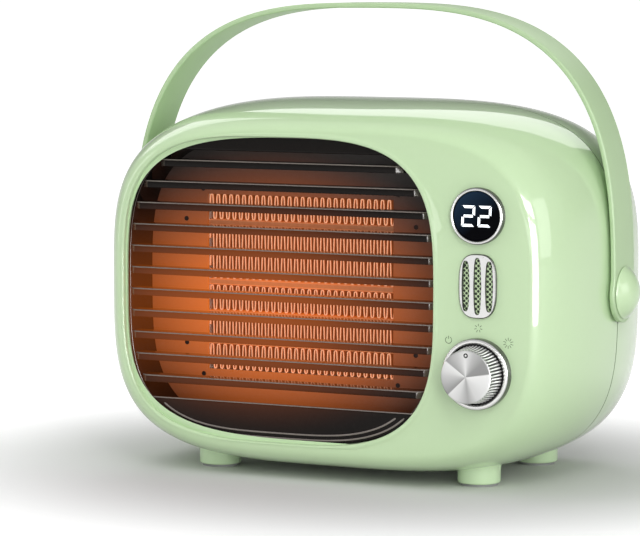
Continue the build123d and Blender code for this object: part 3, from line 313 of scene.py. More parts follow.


# Painted glow on parts that are no lamp: an orange emission that fades from the heater's middle, an oval
# distance in object space turned to a soft falloff
def paintGlow(material, strength, scale=paintedGlow["scale"]):
    tree = material.node_tree
    away = vectorStep(tree, "SUBTRACT", objectPlace(tree), paintedGlow["centre"])
    fall = rangeStep(tree, scaledLength(tree, away, scale), toLow=strength, toHigh=0.0, kind="SMOOTHSTEP")
    fill(tree, tree.nodes["Principled BSDF"],
         {"Emission Color": (*paintedGlow["colour"], 1), "Emission Strength": fall})


# Painted glow on the baffle, the plates and dividers, the stones, the slats' ends and the slats
for name, strength in {"baffleSheet": 0.85, "glowOrangeMetal": 0.5, "firedCeramic": 0.4, "slatTailSheen": 0.24}.items():
    paintGlow(finish[name], strength)
paintGlow(blackGrille, 0.32, paintedGlow["slatScale"])

# Fins: painted glow, pale orange at the front edge, and painted shade that deepens to near black further in,
# by the depth behind the edge
finGlow = {"deep": 0.009, "strength": 0.5, "tones": [
    (0.0, (1.0, 0.50, 0.29)), (0.05, (0.94, 0.37, 0.17)),
    (0.10, (0.25, 0.062, 0.014)), (1.0, (0.05, 0.013, 0.004))]}
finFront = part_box("heating_fins")[0].y
finGlowShade, tree, surface = blank("finGlowShade")
inward = put(tree, "ShaderNodeSeparateXYZ", {"Vector": objectPlace(tree)}).outputs["Y"]
tone = rampShade(tree, rangeStep(tree, inward, finFront, finFront + finGlow["deep"]), finGlow["tones"])
fill(tree, surface, {"Base Color": tone, "Emission Color": tone,
                     "Emission Strength": finGlow["strength"], "Roughness": 0.45})


# The place about an axis that runs front to back
def aboutAxis(tree, middle):
    return vectorStep(tree, "SUBTRACT", objectPlace(tree), (middle[0] * 0.001, 0.0, middle[1] * 0.001))


# Rings of light and dark painted into the metal's colour by the distance from such an axis: pairs of radius
# and brightness
def bandedMetal(name, middle, bands, metallic, rough):
    material, tree, surface = blank(name)
    farthest = bands[-1][0]
    away = scaledLength(tree, aboutAxis(tree, middle), (1000 / farthest, 0.0, 1000 / farthest))
    stops = [(radius / farthest, (level, level, level * 0.98)) for radius, level in bands]
    shade = rampShade(tree, away, stops)
    fill(tree, surface, {"Base Color": shade, "Metallic": metallic, "Roughness": rough})
    return material


print("finishes ready:", len(bpy.data.materials))


# Body shells

bodyForm = {
    "halfWide": 128.5, "high": 92.0, "low": 89.5, "middle": 93.0, "power": 3.57,
    "sideDraw": 19.0, "topDraw": 15.0, "bottomDraw": 14.0, "bow": 1.87, "bottomBow": 2.8,
    "frontDepth": 67.0, "rearDepth": 64.0, "wall": 2.6, "seamRound": 0.12, "seamGap": 0.6, "steps": 480,
}
outlet = {
    "x": -23.5, "z": 93.0, "wide": 84.0, "tall": 74.5, "power": 3.42, "lip": 0.9, "collar": 2.0, "back": 40.0,
    "bead": ((3.0, 0.0), (2.5, 0.12), (2.0, 0.33), (1.5, 0.42)), "beadTall": 0.42,
}
around = fullTurn(bodyForm["steps"])


# How far the skin has drawn in at a share of the depth: 1 - (1 - t^m)^(1/m)
def drawIn(share, bow):
    return 1 - np.clip(1 - share ** bow, 0, 1) ** (1 / bow)


# One ring of the skin: a rounded box drawn in by its share of the depth, and by an inset
def bodyRing(turn, reach, share, inset=0.0):
    form = bodyForm
    side, bottom = drawIn(share, form["bow"]), drawIn(share, form["bottomBow"])
    ray = roundedRadius(turn, form["halfWide"] - inset - form["sideDraw"] * side,
                        form["high"] - inset - form["topDraw"] * side,
                        form["low"] - inset - form["bottomDraw"] * bottom, form["power"])
    return polarRing(ray, turn, reach, (0, form["middle"]))


# Shares of the depth between two turns of a quarter circle, close together where the skin bends most
def bendShares(firstTurn, lastTurn, count):
    return np.sin(np.linspace(firstTurn, lastTurn, count)) ** (2 / bodyForm["bow"])


# Rings of one shell from the seam's edge to the end of its rounding
def shellRings(depth, facing, start):
    rounding = bodyForm["seamRound"]
    rings = [bodyRing(around, facing * (start + step), 0.0, inset)
             for inset, step in roundEdge((rounding, 0), (0, 0), (0, rounding), 4)]
    first = np.arcsin(((start + 2 * rounding) / depth) ** (bodyForm["bow"] / 2))
    shares = bendShares(first, np.pi / 2, 44)
    return rings + [bodyRing(around, facing * share * depth, share) for share in shares]


# The inside of the same shell, from its end wall back to the seam
def liningRings(depth, facing, start):
    wall = bodyForm["wall"]
    rings = [bodyRing(around, facing * max(start, share * (depth - wall)), share, wall)
             for share in bendShares(np.pi / 2, 0.05, 12)]
    return rings + [bodyRing(around, facing * start, 0.0, wall)]


# A ring of the air outlet, met along straight lines from its own centre
def outletRing(turn, margin, reach=0.0):
    tall = outlet["tall"] + margin
    ray = roundedRadius(turn, outlet["wide"] + margin, tall, tall, outlet["power"])
    return polarRing(ray, turn, reach, (outlet["x"], outlet["z"]))


frontRings = shellRings(bodyForm["frontDepth"], 1, 0.0)
flatX, _, flatZ = frontRings[-1]
sight = np.arctan2(flatZ - outlet["z"], flatX - outlet["x"])
lipX, _, lipZ = outletRing(sight, outlet["lip"])
lipGap = np.hypot(flatX - lipX, flatZ - lipZ)


# A ring of the front face, by its share of the way from the outlet's lip out to the skin's rounding
def faceRing(share, lift=0.0):
    return lipX + share * (flatX - lipX), bodyForm["frontDepth"] + lift, lipZ + share * (flatZ - lipZ)


for share in (0.7, 0.4):
    frontRings.append(faceRing(np.maximum(share, np.minimum(outlet["bead"][0][0] / lipGap, 0.8))))
# A low bead round the outlet, narrower where the flat face is narrow
for away, lift in outlet["bead"]:
    frontRings.append(faceRing(np.minimum((away - outlet["lip"]) / lipGap, 0.3 * away), lift))
lipEdge = roundEdge((outlet["lip"], -outlet["beadTall"]), (0, -outlet["beadTall"]), (0, outlet["lip"]), 7)
lipRings = [(margin, bodyForm["frontDepth"] - drop) for margin, drop in lipEdge]
lipRings += [(0, 60), (0, 50), (0, outlet["back"]), (outlet["collar"], outlet["back"]),
             (outlet["collar"], bodyForm["frontDepth"] - bodyForm["wall"])]
frontRings += [outletRing(sight, margin, reach) for margin, reach in lipRings]
frontRings += liningRings(bodyForm["frontDepth"], 1, 0.0)
frontShell = addPiece("frontShell", *closedRings(frontRings), "body", "mint_shell", mintShell)
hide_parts("front_housing")

intake = {"columns": 3, "rows": 13, "columnPitch": 52.0, "rowPitch": 7.2, "length": 46.0, "height": 3.6,
          "round": 0.4}
rearFace, rearInside = -bodyForm["rearDepth"], bodyForm["wall"] - bodyForm["rearDepth"]

# Slots: the edge of each is two half circles, and every point looks out to the edge of its own cell
slotRadius = intake["height"] / 2
slotMid = intake["length"] / 2 - slotRadius
cellWide, cellTall = intake["columnPitch"] / 2 - slotMid, intake["rowPitch"] / 2
cellCorner = math.atan2(cellTall, cellWide)
upperTurn = np.r_[np.linspace(0, cellCorner, 4), np.linspace(cellCorner, np.pi / 2, 4)[1:]]
halfTurn = np.r_[-upperTurn[:0:-1], upperTurn]
cellReach = np.minimum(cellWide / np.maximum(np.cos(halfTurn), 1e-9),
                       cellTall / np.maximum(np.abs(np.sin(halfTurn)), 1e-9))
slotRings = []
for ray, reach in ((cellReach, rearFace), (slotRadius + intake["round"], rearFace),
                   (slotRadius + 0.1, rearFace + 0.1), (slotRadius, rearFace + intake["round"]),
                   (slotRadius, rearInside), (cellReach, rearInside)):
    x, z = slotMid + ray * np.cos(halfTurn), ray * np.sin(halfTurn)
    slotRings.append((np.r_[x, -x], reach, np.r_[z, -z]))
oneSlot = stackRings(slotRings)
oneQuads = ringQuads(len(slotRings), 2 * len(halfTurn), wrapRings=False)
columns = (np.arange(intake["columns"]) - (intake["columns"] - 1) / 2) * intake["columnPitch"]
rows = (np.arange(intake["rows"]) - (intake["rows"] - 1) / 2) * intake["rowPitch"] + bodyForm["middle"]
slotPoints, slotQuads = joined([(oneSlot + [x, 0, z], oneQuads) for z in rows for x in columns])

# The field's own edge: the outermost points of the cells, in order round its middle
fieldWide, fieldTall = intake["columns"] * intake["columnPitch"] / 2, intake["rows"] * intake["rowPitch"] / 2
fieldX, fieldZ = slotPoints[:, 0], slotPoints[:, 2] - bodyForm["middle"]
atEdge = (np.abs(fieldX) > fieldWide - 0.01) | (np.abs(fieldZ) > fieldTall - 0.01)
edgePlaces = np.unique(np.round(np.stack([fieldX, fieldZ], -1)[atEdge], 4), axis=0)
edgeTurn = np.arctan2(edgePlaces[:, 1], edgePlaces[:, 0]) % (2 * np.pi)
edgePlaces, edgeTurn = edgePlaces[np.argsort(edgeTurn)], np.sort(edgeTurn)
edgeX, edgeZ = edgePlaces[:, 0], bodyForm["middle"] + edgePlaces[:, 1]
edgeLoops = [(edgeX, reach, edgeZ) for reach in (rearInside, rearFace)]

# The skin runs from the end wall's inside round the seam to the outer face; its ends meet the field's edge
rearRings = liningRings(bodyForm["rearDepth"], -1, bodyForm["seamGap"])
rearRings += shellRings(bodyForm["rearDepth"], -1, bodyForm["seamGap"])
rearX, _, rearZ = rearRings[-1]
rearRings += [(share * rearX, rearFace, bodyForm["middle"] + share * (rearZ - bodyForm["middle"]))
              for share in (0.97, 0.93)]
rearPoints, edgePoints = stackRings(rearRings), stackRings(edgeLoops)
edgeStart = len(rearPoints) + len(slotPoints)
skinQuads = ringQuads(len(rearRings), len(around), wrapRings=False)
rearTriangles = np.concatenate([
    zipLoops(around, 0, edgeTurn, edgeStart),
    zipLoops(around, len(rearPoints) - len(around), edgeTurn, edgeStart + len(edgePlaces))])
rearShell = addPiece("rearShell", np.concatenate([rearPoints, slotPoints, edgePoints]),
                     np.concatenate([skinQuads, slotQuads + len(rearPoints)]),
                     "body", "mint_shell", mintShell, triangles=rearTriangles)
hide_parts("rear_cover")

# The edges that meet at the seam stay in shadow: a dark finish on the faces next to it
for shell, low, high in ((frontShell, -bodyForm["seamRound"], 1.0),
                         (rearShell, -1.0, bodyForm["seamGap"] + bodyForm["seamRound"])):
    past = faceRows(shell, "center")[:, 1] - seamY
    paintFaces(shell, finish["seamShade"], (past > low - 0.01) & (past < high + 0.01))


# How far back the skin lies at a place: the share of the depth whose ring passes through it, found by halving
def skinReach(x, z):
    turn, away = np.arctan2(z - bodyForm["middle"], x), np.hypot(x, z - bodyForm["middle"])
    near, far = np.zeros_like(away), np.ones_like(away)
    for _ in range(30):
        middle = (near + far) / 2
        ringX, _, ringZ = bodyRing(turn, 0.0, middle)
        inside = np.hypot(ringX, ringZ - bodyForm["middle"]) > away
        near, far = np.where(inside, middle, near), np.where(inside, far, middle)
    return -near * bodyForm["rearDepth"]


# Screw wells: a round cut through the skin, and a sleeve from the skin down to the screw's seat
well = {"x": 100.0, "heights": (155.0, 31.0), "radius": 3.4, "clear": 0.1, "sleeve": 1.0, "seat": -10.0,
        "cutFrom": -20.0, "cutTo": -80.0, "steps": 48}
wellPlaces = [(side * well["x"], height) for side in (-1, 1) for height in well["heights"]]
cutProfile = [(axisRadius, well["cutFrom"]), (well["radius"], well["cutFrom"]),
              (well["radius"], well["cutTo"]), (axisRadius, well["cutTo"])]
cutParts = [turnedPoints(cutProfile, place, "depth", well["steps"]) for place in wellPlaces]
cutter = bpy.data.objects.new("wellCutter", closedMesh("wellCutter", *joined(cutParts)))
bpy.context.scene.collection.objects.link(cutter)
cut = rearShell.modifiers.new("wells", "BOOLEAN")
cut.object = cutter
cut.solver = "EXACT"
cutMesh = bpy.data.meshes.new_from_object(rearShell.evaluated_get(bpy.context.evaluated_depsgraph_get()))
rearShell.modifiers.clear()
rearShell.data = cutMesh
bpy.data.objects.remove(cutter)
wellTurn = fullTurn(well["steps"])
bore, outside = well["radius"] - well["clear"], well["radius"] + well["sleeve"]
sleeveParts = []
for place in wellPlaces:
    rings = []
    for radius, sunk in ((bore, None), (bore, 0.15), (outside, 1.0), (outside, None)):  # sunk below the skin
        x, _, z = polarRing(radius, wellTurn, 0.0, place)
        rings.append((x, well["seat"] if sunk is None else skinReach(x, z) + sunk, z))
    sleeveParts.append(closedRings(rings))
addPiece("screwWells", *joined(sleeveParts), "body", "mint_shell", mintShell)

foot = {"side": 70.7, "reaches": (34.0, -40.0), "radius": 10.5, "edge": 1.0, "flare": 1.6, "bottom": 1.2,
        "straightTop": 6.0, "flareCorner": 10.0, "flareTop": 12.0, "top": 14.0}
footRadius, flareRadius = foot["radius"], foot["radius"] + foot["flare"]
footProfile = [(axisRadius, foot["bottom"])]
footProfile += roundEdge((footRadius - foot["edge"], foot["bottom"]), (footRadius, foot["bottom"]),
                         (footRadius, foot["bottom"] + foot["edge"]))
footProfile += roundEdge((footRadius, foot["straightTop"]), (footRadius, foot["flareCorner"]),
                         (flareRadius, foot["flareTop"]), 8)
footProfile += [(flareRadius, foot["top"]), (axisRadius, foot["top"])]
footParts = [turnedPoints(footProfile, (side * foot["side"], seamY - reach), "upright", 96)
             for reach in foot["reaches"] for side in (-1, 1)]
addPiece("feet", *joined(footParts), "body", "mint_shell", mintFootLit)
print("shells and feet built")


# Front grille

grille = {
    "clear": 0.25, "wall": 1.2, "front": 62.6, "back": 40.2, "round": 0.5,
    "slats": 11, "pitch": 10.76, "slatTall": 3.6, "slatFront": 63.4, "slatBack": 54.4, "firstSlat": 153.4,
    "slatRound": 0.9, "slatUnder": 0.5, "slatClear": 0.35, "bend": 1.6, "bendTurn": 40.0, "tail": 3.4,
    "plate": 2.0, "plateRound": 0.9, "plateDrop": 0.8, "plateClear": 0.3, "plateEnd": 0.4,
    "topShare": 0.62, "topSunk": 0.6, "ridges": (-1.9, -4.3), "ridgeWide": 0.55, "ridgeSunk": 0.2,
    "ridgeDeep": 0.6, "ridgeTop": 0.6, "ridgeFade": 3.0,
}
ringTurn = fullTurn(360)
slatFront, plateRound = grille["slatFront"], grille["plateRound"]
rim, rimFront, rimRound = -grille["clear"], grille["front"], grille["round"]
rimInside = rim - grille["wall"]
rimProfile = [(rim, grille["back"])]
rimProfile += roundEdge((rim, rimFront - rimRound), (rim, rimFront), (rim - rimRound, rimFront), 4)
rimProfile += roundEdge((rimInside + rimRound, rimFront), (rimInside, rimFront),
                        (rimInside, rimFront - rimRound), 4)
rimProfile += [(rimInside, grille["back"])]
grilleParts = [closedRings([outletRing(ringTurn, margin, reach) for margin, reach in rimProfile])]


# Half width of the clear opening at a height
def clearWide(height, margin):
    share = np.clip(np.abs(height - outlet["z"]) / (outlet["tall"] + margin), 0, 1)
    return (outlet["wide"] + margin) * (1 - share ** outlet["power"]) ** (1 / outlet["power"])


# Slat: a rounded bar along x whose face runs straight, turns back on a small bend and meets the rim
bendArc = np.radians(np.linspace(0, grille["bendTurn"], 8))
tailX, tailBack = math.cos(bendArc[-1]), math.sin(bendArc[-1])
arcBack = grille["bend"] * (1 - np.cos(bendArc))
sideBack = np.r_[arcBack, arcBack[-1] + grille["tail"] * tailBack]
pathBack = np.r_[sideBack[::-1], sideBack]
endRun = grille["bend"] * tailBack + grille["tail"] * tailX
halfTall, slatUnder, slatRound = grille["slatTall"] / 2, grille["slatUnder"], grille["slatRound"]
faceLoop = np.array(roundEdge((-slatUnder, -halfTall), (0, -halfTall), (0, slatUnder - halfTall), 4)
                    + roundEdge((0, halfTall - slatRound), (0, halfTall), (-slatRound, halfTall), 5))
backRow = np.full((len(pathBack), 1), grille["slatBack"])
slatReach = np.concatenate([backRow, slatFront - pathBack[:, None] + faceLoop[:, 0], backRow, backRow], 1)
sectionZ = np.r_[-halfTall, faceLoop[:, 1], halfTall, 0]
for index in range(grille["slats"]):
    height = grille["firstSlat"] - index * grille["pitch"]
    half = clearWide(height + np.sign(height - outlet["z"]) * halfTall, rim - grille["slatClear"])
    sideX = np.r_[half - endRun + grille["bend"] * np.sin(bendArc), half]
    pathX = np.r_[-sideX[::-1], sideX] + outlet["x"]
    x, z = pathX[:, None] + np.zeros_like(slatReach), height + sectionZ + np.zeros_like(slatReach)
    grilleParts.append(closedStrip(np.stack([x, seamY - slatReach, z], -1)))


# Plate: rows across the clear width, its upper or lower edge rounded over, closed to a thin solid
def crescent(low, high, front, roundAt):
    heights = low + (high - low) * (1 - np.cos(np.linspace(0, np.pi, 40))) / 2
    spread = np.linspace(-1, 1, 61)
    half = np.maximum(clearWide(heights, rim - grille["plateClear"]), grille["plateEnd"])
    x = outlet["x"] + half[:, None] * spread
    z = heights[:, None] + np.zeros_like(spread)
    away = np.clip(1 - np.abs(z - roundAt) / plateRound, 0, 1)
    y = seamY - front + grille["plateDrop"] * (1 - np.sqrt(1 - away ** 2))
    backY = np.full_like(x, seamY - front + grille["plate"])
    face, back = (np.stack([x, depth, z], -1) for depth in (y, backY))
    return closedStrip(np.concatenate([face, back[:, ::-1]], 1))


plateTop = grille["firstSlat"] - grille["slats"] * grille["pitch"] + halfTall
topEdge = grille["firstSlat"] + grille["pitch"] * grille["topShare"]
lowEnd = outlet["z"] - outlet["tall"] - rim + grille["plateEnd"]
highEnd = outlet["z"] + outlet["tall"] + rim - grille["plateEnd"]
grilleParts.append(crescent(lowEnd, plateTop, slatFront, plateTop))
grilleParts.append(crescent(topEdge, highEnd, slatFront - grille["topSunk"], topEdge))

# Two raised lines follow the opening along the bottom plate: a half round carried along a ring of the outlet
lineTurn = np.radians(np.linspace(180, 360, 721))
bumpTurn = np.radians(np.linspace(0, 180, 9))
ridgeBase = slatFront - grille["ridgeSunk"]
for margin in grille["ridges"]:
    under = outletRing(lineTurn, margin)[2] < plateTop - 2 * grille["ridgeTop"]
    lines = [outletRing(lineTurn[under], margin + grille["ridgeWide"] * math.cos(turn)) for turn in bumpTurn]
    x, z = (np.stack([line[part] for line in lines], 1) for part in (0, 2))
    fade = np.clip((plateTop - grille["ridgeTop"] - z.max(1)) / grille["ridgeFade"], 0, 1)[:, None]
    bump = np.stack([x, seamY - ridgeBase - fade * grille["ridgeWide"] * np.sin(bumpTurn), z], -1)
    backY = [0, seamY - ridgeBase + grille["ridgeDeep"], 0]
    last, first = bump[:, -1:] * [1, 0, 1] + backY, bump[:, :1] * [1, 0, 1] + backY
    grilleParts.append(closedStrip(np.concatenate([bump, last, (last + first) / 2, first], 1)))

frontGrille = addPiece("frontGrille", *joined(grilleParts), "body", "black_grille", blackGrille, 30.0)
# Painted highlights: the slats' and plates' rounded upper edges and the raised lines get a paler finish; the
# slats' turned-back ends get a paler painted reflection
facing, spots = faceRows(frontGrille, "normal"), faceRows(frontGrille, "center")
nearFront = spots[:, 1] < seamY - slatFront + 1.1 + grille["tail"]
onHighlight = (facing[:, 2] > 0.38) & (facing[:, 1] < -0.12) & nearFront & (spots[:, 2] > plateTop - 2)
onHighlight |= spots[:, 1] < seamY - slatFront - 0.1
onTailSheen = (np.abs(facing[:, 0]) > 0.3) & (facing[:, 1] < -0.3) & nearFront & ~onHighlight
onTailSheen &= (spots[:, 2] > plateTop) & (spots[:, 2] < topEdge)
paintFaces(frontGrille, finish["slatHighlight"], onHighlight)
paintFaces(frontGrille, finish["slatTailSheen"], onTailSheen)
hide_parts("front_grille")

# Fins: each row is a sheet folded to and fro, height = tanh(k sin) of the run, thickened along its own normal
finLow, finHigh = (np.array(v) * 1000 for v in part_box("heating_fins"))
fins = {"rows": 6, "strip": 3.1, "divider": 1.0, "pitch": 3.64, "thick": 0.42, "sharp": 3.2, "end": 0.4,
        "clear": 0.35}
finTall = (finHigh[2] - finLow[2] - 3 * fins["strip"] - 2 * fins["divider"]) / fins["rows"]
folds = round((finHigh[0] - finLow[0] - 1) / fins["pitch"])
run = np.linspace(0, folds, folds * 28 + 1)
foldX = finLow[0] + fins["end"] + run * (finHigh[0] - finLow[0] - 2 * fins["end"]) / folds
foldWave = np.tanh(fins["sharp"] * np.sin(2 * np.pi * run)) / math.tanh(fins["sharp"])
foldZ = (finTall / 2 - fins["clear"]) * foldWave
slopeX, slopeZ = np.gradient(foldX), np.gradient(foldZ)
slope = np.hypot(slopeX, slopeZ)
sideX, sideZ = -slopeZ / slope * fins["thick"] / 2, slopeX / slope * fins["thick"] / 2
finParts = []
for row in range(fins["rows"]):
    unit, upper = divmod(row, 2)
    base = finLow[2] + unit * (2 * finTall + fins["strip"] + fins["divider"])
    base += upper * (finTall + fins["strip"]) + finTall / 2
    corners = [np.stack([foldX + way * sideX, np.full_like(foldX, depth), base + foldZ + way * sideZ], -1)
               for way, depth in ((1, finLow[1]), (-1, finLow[1]), (-1, finHigh[1]), (1, finHigh[1]))]
    finParts.append(closedStrip(np.stack(corners, 1)))
finPiece = addPiece("heatingFins", *joined(finParts), "body", "heater_metal", finGlowShade, 30.0)
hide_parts("heating_fins")
print("grille and fins built")


# Carrying handle

strap = {"pivot": 93.0, "half": 132.1, "top": 231.95, "power": 2.95, "wide": 13.0, "thick": 2.6, "eye": 14.5,
         "round": 0.9}
reachUp = strap["top"] - strap["pivot"]
sweep = np.linspace(0, np.pi, 260)
sweepRadius = roundedRadius(sweep, strap["half"], reachUp, reachUp, strap["power"])
drop = -strap["eye"] * np.cos(np.linspace(0, np.pi / 2, 26))[:-1]
sideRun = np.full_like(drop, strap["half"])
pathX = np.r_[sideRun, sweepRadius * np.cos(sweep), -sideRun]
pathZ = np.r_[drop, sweepRadius * np.sin(sweep), drop[::-1]]
outX, outZ = np.gradient(pathZ), -np.gradient(pathX)
length = np.hypot(outX, outZ)
outX, outZ = outX / length, outZ / length
eyeTop = math.sqrt(strap["eye"] ** 2 - strap["wide"] ** 2)
eyeHalf = np.sqrt(np.maximum(strap["eye"] ** 2 - pathZ ** 2, 1e-4))
halfStrap = np.where(pathZ > eyeTop, strap["wide"], eyeHalf)
# Section: a rounded bar, its width carried by the path and its thickness inward from the outer face
corner = np.radians(np.linspace(0, 90, 6))
edgeAcross = np.r_[np.cos(corner), -np.sin(corner), -np.cos(corner), np.sin(corner)]
edgeDeep = np.r_[np.sin(corner), np.cos(corner), -np.sin(corner), -np.cos(corner)]
signAcross, signDeep = np.repeat([1, -1, -1, 1], 6), np.repeat([1, 1, -1, -1], 6)
rounding = np.minimum(strap["round"], halfStrap)[:, None]
across = signAcross * (halfStrap[:, None] - rounding) + rounding * edgeAcross
deep = -strap["thick"] / 2 + signDeep * (strap["thick"] / 2 - strap["round"]) + strap["round"] * edgeDeep
strapPoints = np.stack([pathX[:, None] + outX[:, None] * deep, seamY + across,
                        strap["pivot"] + pathZ[:, None] + outZ[:, None] * deep], -1)
handle = addPiece("handleStrap", *closedStrip(strapPoints), "carrying_handle", "mint_shell", mintHandle)
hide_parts("handle")

cap = {"radius": 12.8, "start": 132.4, "height": 6.7, "round": 0.7, "rim": 0.6, "step": 1.0}
capBulge = (cap["radius"] ** 2 + cap["height"] ** 2) / (2 * cap["height"])
capTurn = np.linspace(0, math.asin((cap["radius"] - cap["round"]) / capBulge), 22)
capX = cap["start"] + cap["height"] - capBulge + capBulge * np.cos(capTurn)
domeProfile = np.stack([np.maximum(capBulge * np.sin(capTurn), axisRadius), capX], -1).tolist()
domeProfile += roundEdge(domeProfile[-1], (cap["radius"], cap["start"] + cap["rim"]),
                         (cap["radius"], cap["start"]), 5)[1:]
domeProfile += [(cap["radius"] - cap["step"], cap["start"]), (axisRadius, cap["start"])]
for side, name, node in ((-1, "leftCap", "left_pivot_cap"), (1, "rightCap", "right_pivot_cap")):
    sideProfile = [(radius, side * x) for radius, x in domeProfile]
    dome = addPiece(name, *turnedPoints(sideProfile, (0, strap["pivot"]), "side", 96),
                    "body", "mint_shell", mintShell)
    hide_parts(node)
print("handle and caps built")


# Controls: profiles are pairs of radius and reach

panel = {"x": 84.0, "front": 67.0, "displayZ": 133.2, "ventZ": 100.0, "knobZ": 58.5}
displayAt, ventAt, knobAt = ((panel["x"], panel[key]) for key in ("displayZ", "ventZ", "knobZ"))
bezelProfile = [(13.5, 66.5)] + roundEdge((13.5, 69.3), (13.5, 70.2), (12.9, 70.4), 4)
bezelProfile += roundEdge((12.6, 70.5), (12.1, 70.5), (11.95, 70.0), 4) + [(11.9, 69.9), (11.9, 66.5)]
# The bezel's bands: a painted reflection on its top and painted shade on its inner and outer edges
bezelReflections = [(0, 0.02), (11.95, 0.03), (12.2, 0.85), (12.9, 0.85), (13.2, 0.25), (13.48, 0.10), (20, 0.10)]
bezelMetal = bandedMetal("bezelMetal", displayAt, bezelReflections, 0.8, 0.22)
bezel = addPiece("displayRing", *turnedPoints(bezelProfile, displayAt, "depth", 120),
                 "body", "silver_trim", bezelMetal, 50.0)
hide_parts("display_bezel")

ringProfile = [(17.0, 66.8)] + roundEdge((17.0, 69.9), (17.0, 71.5), (16.0, 71.5), 6)
ringProfile += roundEdge((15.2, 71.5), (14.6, 71.5), (14.4, 70.6), 5) + [(14.4, 66.8)]
# The ring's bands: painted reflections on its flat top and inner rounded edge, and painted shade between them
# and on its outer edge and walls
ringReflections = [(0, 0.03), (14.5, 0.05), (14.75, 0.5), (15.0, 0.18), (15.2, 0.88), (16.5, 0.88), (16.85, 0.2),
             (17, 0.12), (20, 0.12)]
ringMetal = bandedMetal("ringMetal", knobAt, ringReflections, 0.8, 0.18)
knobRing = addPiece("knobRing", *turnedPoints(ringProfile, knobAt, "depth", 160),
                    "body", "bright_ring", ringMetal, 50.0)
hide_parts("knob_ring")

knobForm = {"radius": 12.75, "skirt": 13.8, "face": 81.95, "edge": 81.3, "neck": (80.8, 80.6),
            "flareTop": 80.4, "flareTall": 9.4, "back": 68.5, "spunFrom": 81.6, "flutes": 52,
            "cut": 0.7, "dotUp": 10.2}


# Flutes: the side's radius dips by a rounded wave round the turn, and not on the face
def knobFlutes(radius, along, turn):
    onSide = (radius > knobForm["radius"] + 0.01) & (along < knobForm["face"] - 1.4)
    return onSide * knobForm["cut"] * (1 - np.abs(np.sin(turn * knobForm["flutes"] / 2)))


# The place about the knob's axis, and the turn round it
def knobTurn(tree):
    local = aboutAxis(tree, knobAt)
    parts = put(tree, "ShaderNodeSeparateXYZ", {"Vector": local}).outputs
    return local, mathStep(tree, "ARCTAN2", parts["Z"], parts["X"])


knobFace, knobEdge, flareStart = knobForm["face"], knobForm["radius"], knobForm["radius"] + 0.03
knobProfile = [(radius, knobFace) for radius in (0.02, 3, 6, 9, 11)]
knobProfile += roundEdge((12.1, knobFace), (12.7, knobFace), (knobEdge, knobForm["edge"]), 5)
knobProfile += [(knobEdge, reach) for reach in knobForm["neck"]]
knobProfile += [(flareStart + (knobForm["skirt"] - flareStart) * share ** 1.5,
                 knobForm["flareTop"] - knobForm["flareTall"] * share) for share in np.linspace(0, 1, 8)]
knobProfile += [(13.0, 70.4), (12.0, knobForm["back"]), (0.02, knobForm["back"])]
# Knob side: painted highlights on the crests and painted shade in the valleys, the wave of the flutes taken
# from the turn about the knob's axis
knobSide, tree, surface = blank("knobSide")
_, turnAngle = knobTurn(tree)
wave = mathStep(tree, "SINE", mathStep(tree, "MULTIPLY", turnAngle, knobForm["flutes"] / 2))
crestHighlight = rangeStep(tree, mathStep(tree, "ABSOLUTE", wave), 0.45, 0.95)
fill(tree, surface, {"Base Color": mixShade(tree, crestHighlight, (0.035, 0.035, 0.033, 1), (0.85, 0.85, 0.84, 1)),
                     "Metallic": 0.4, "Roughness": 0.3})

# Spun face: painted reflections, light and dark fans round the middle, from the turn about the knob's own
# axis, with fine rings
fanReflections = [(0.0, 0.60), (0.08, 0.42), (0.119, 0.32), (0.125, 0.80), (0.19, 0.70), (0.27, 0.42), (0.33, 0.68),
        (0.44, 0.82), (0.523, 0.88), (0.53, 0.30), (0.61, 0.33), (0.69, 0.52), (0.755, 0.80), (0.81, 0.60),
        (0.898, 0.38), (0.905, 0.85), (0.96, 0.74), (1.0, 0.60)]
spunMetal, tree, surface = blank("spunMetal")
local, turnAngle = knobTurn(tree)
fanReflection = rampShade(tree, rangeStep(tree, turnAngle, -math.pi, math.pi),
                     [(spot, (level, level, level * 0.99)) for spot, level in fanReflections])
radial = scaledLength(tree, local, (1, 0, 1))
ripple = mathStep(tree, "SINE", mathStep(tree, "MULTIPLY", radial, 16000.0))
relief = put(tree, "ShaderNodeBump", {"Height": ripple, "Strength": 0.08, "Distance": 0.00002})
fill(tree, surface, {"Base Color": fanReflection, "Normal": relief.outputs["Normal"],
                     "Metallic": 0.75, "Roughness": 0.38})

knobMesh = turnedPoints(knobProfile, knobAt, "depth", knobForm["flutes"] * 8, knobFlutes)
knobPiece = addPiece("knobTurned", *knobMesh, "control_knob", "spun_knob", knobSide, 50.0)
paintFaces(knobPiece, spunMetal, faceRows(knobPiece, "center")[:, 1] < seamY - knobForm["spunFrom"])
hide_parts("knob")

dotAt = (panel["x"], panel["knobZ"] + knobForm["dotUp"])
dotProfile = [(axisRadius, 81.97), (0.5, 81.98), (0.65, 82.0), (1.0, 82.0), (1.15, 81.96), (1.15, 81.7),
              (axisRadius, 81.7)]
dotBands = [(0, 0.9), (0.4, 0.8), (0.55, 0.03), (1.15, 0.02), (20, 0.02)]
addPiece("knobPointer", *turnedPoints(dotProfile, dotAt, "depth", 32), "control_knob", "spun_knob",
         bandedMetal("pointerMetal", dotAt, dotBands, 0.3, 0.3))


# Flat marks, a hair in front of what carries them: each is the strip between two lines of points in x and z
def flatMarks(name, marks, reach, thick, body, slotName, material):
    parts = []
    for inner, outer in marks:
        edges = [(inner, reach), (outer, reach), (outer, reach + thick), (inner, reach + thick)]
        sections = [np.insert(line, 1, seamY - lift, axis=1) for line, lift in edges]
        parts.append(closedStrip(np.stack(sections, 1)))
    return addPiece(name, *joined(parts), body, slotName, material)


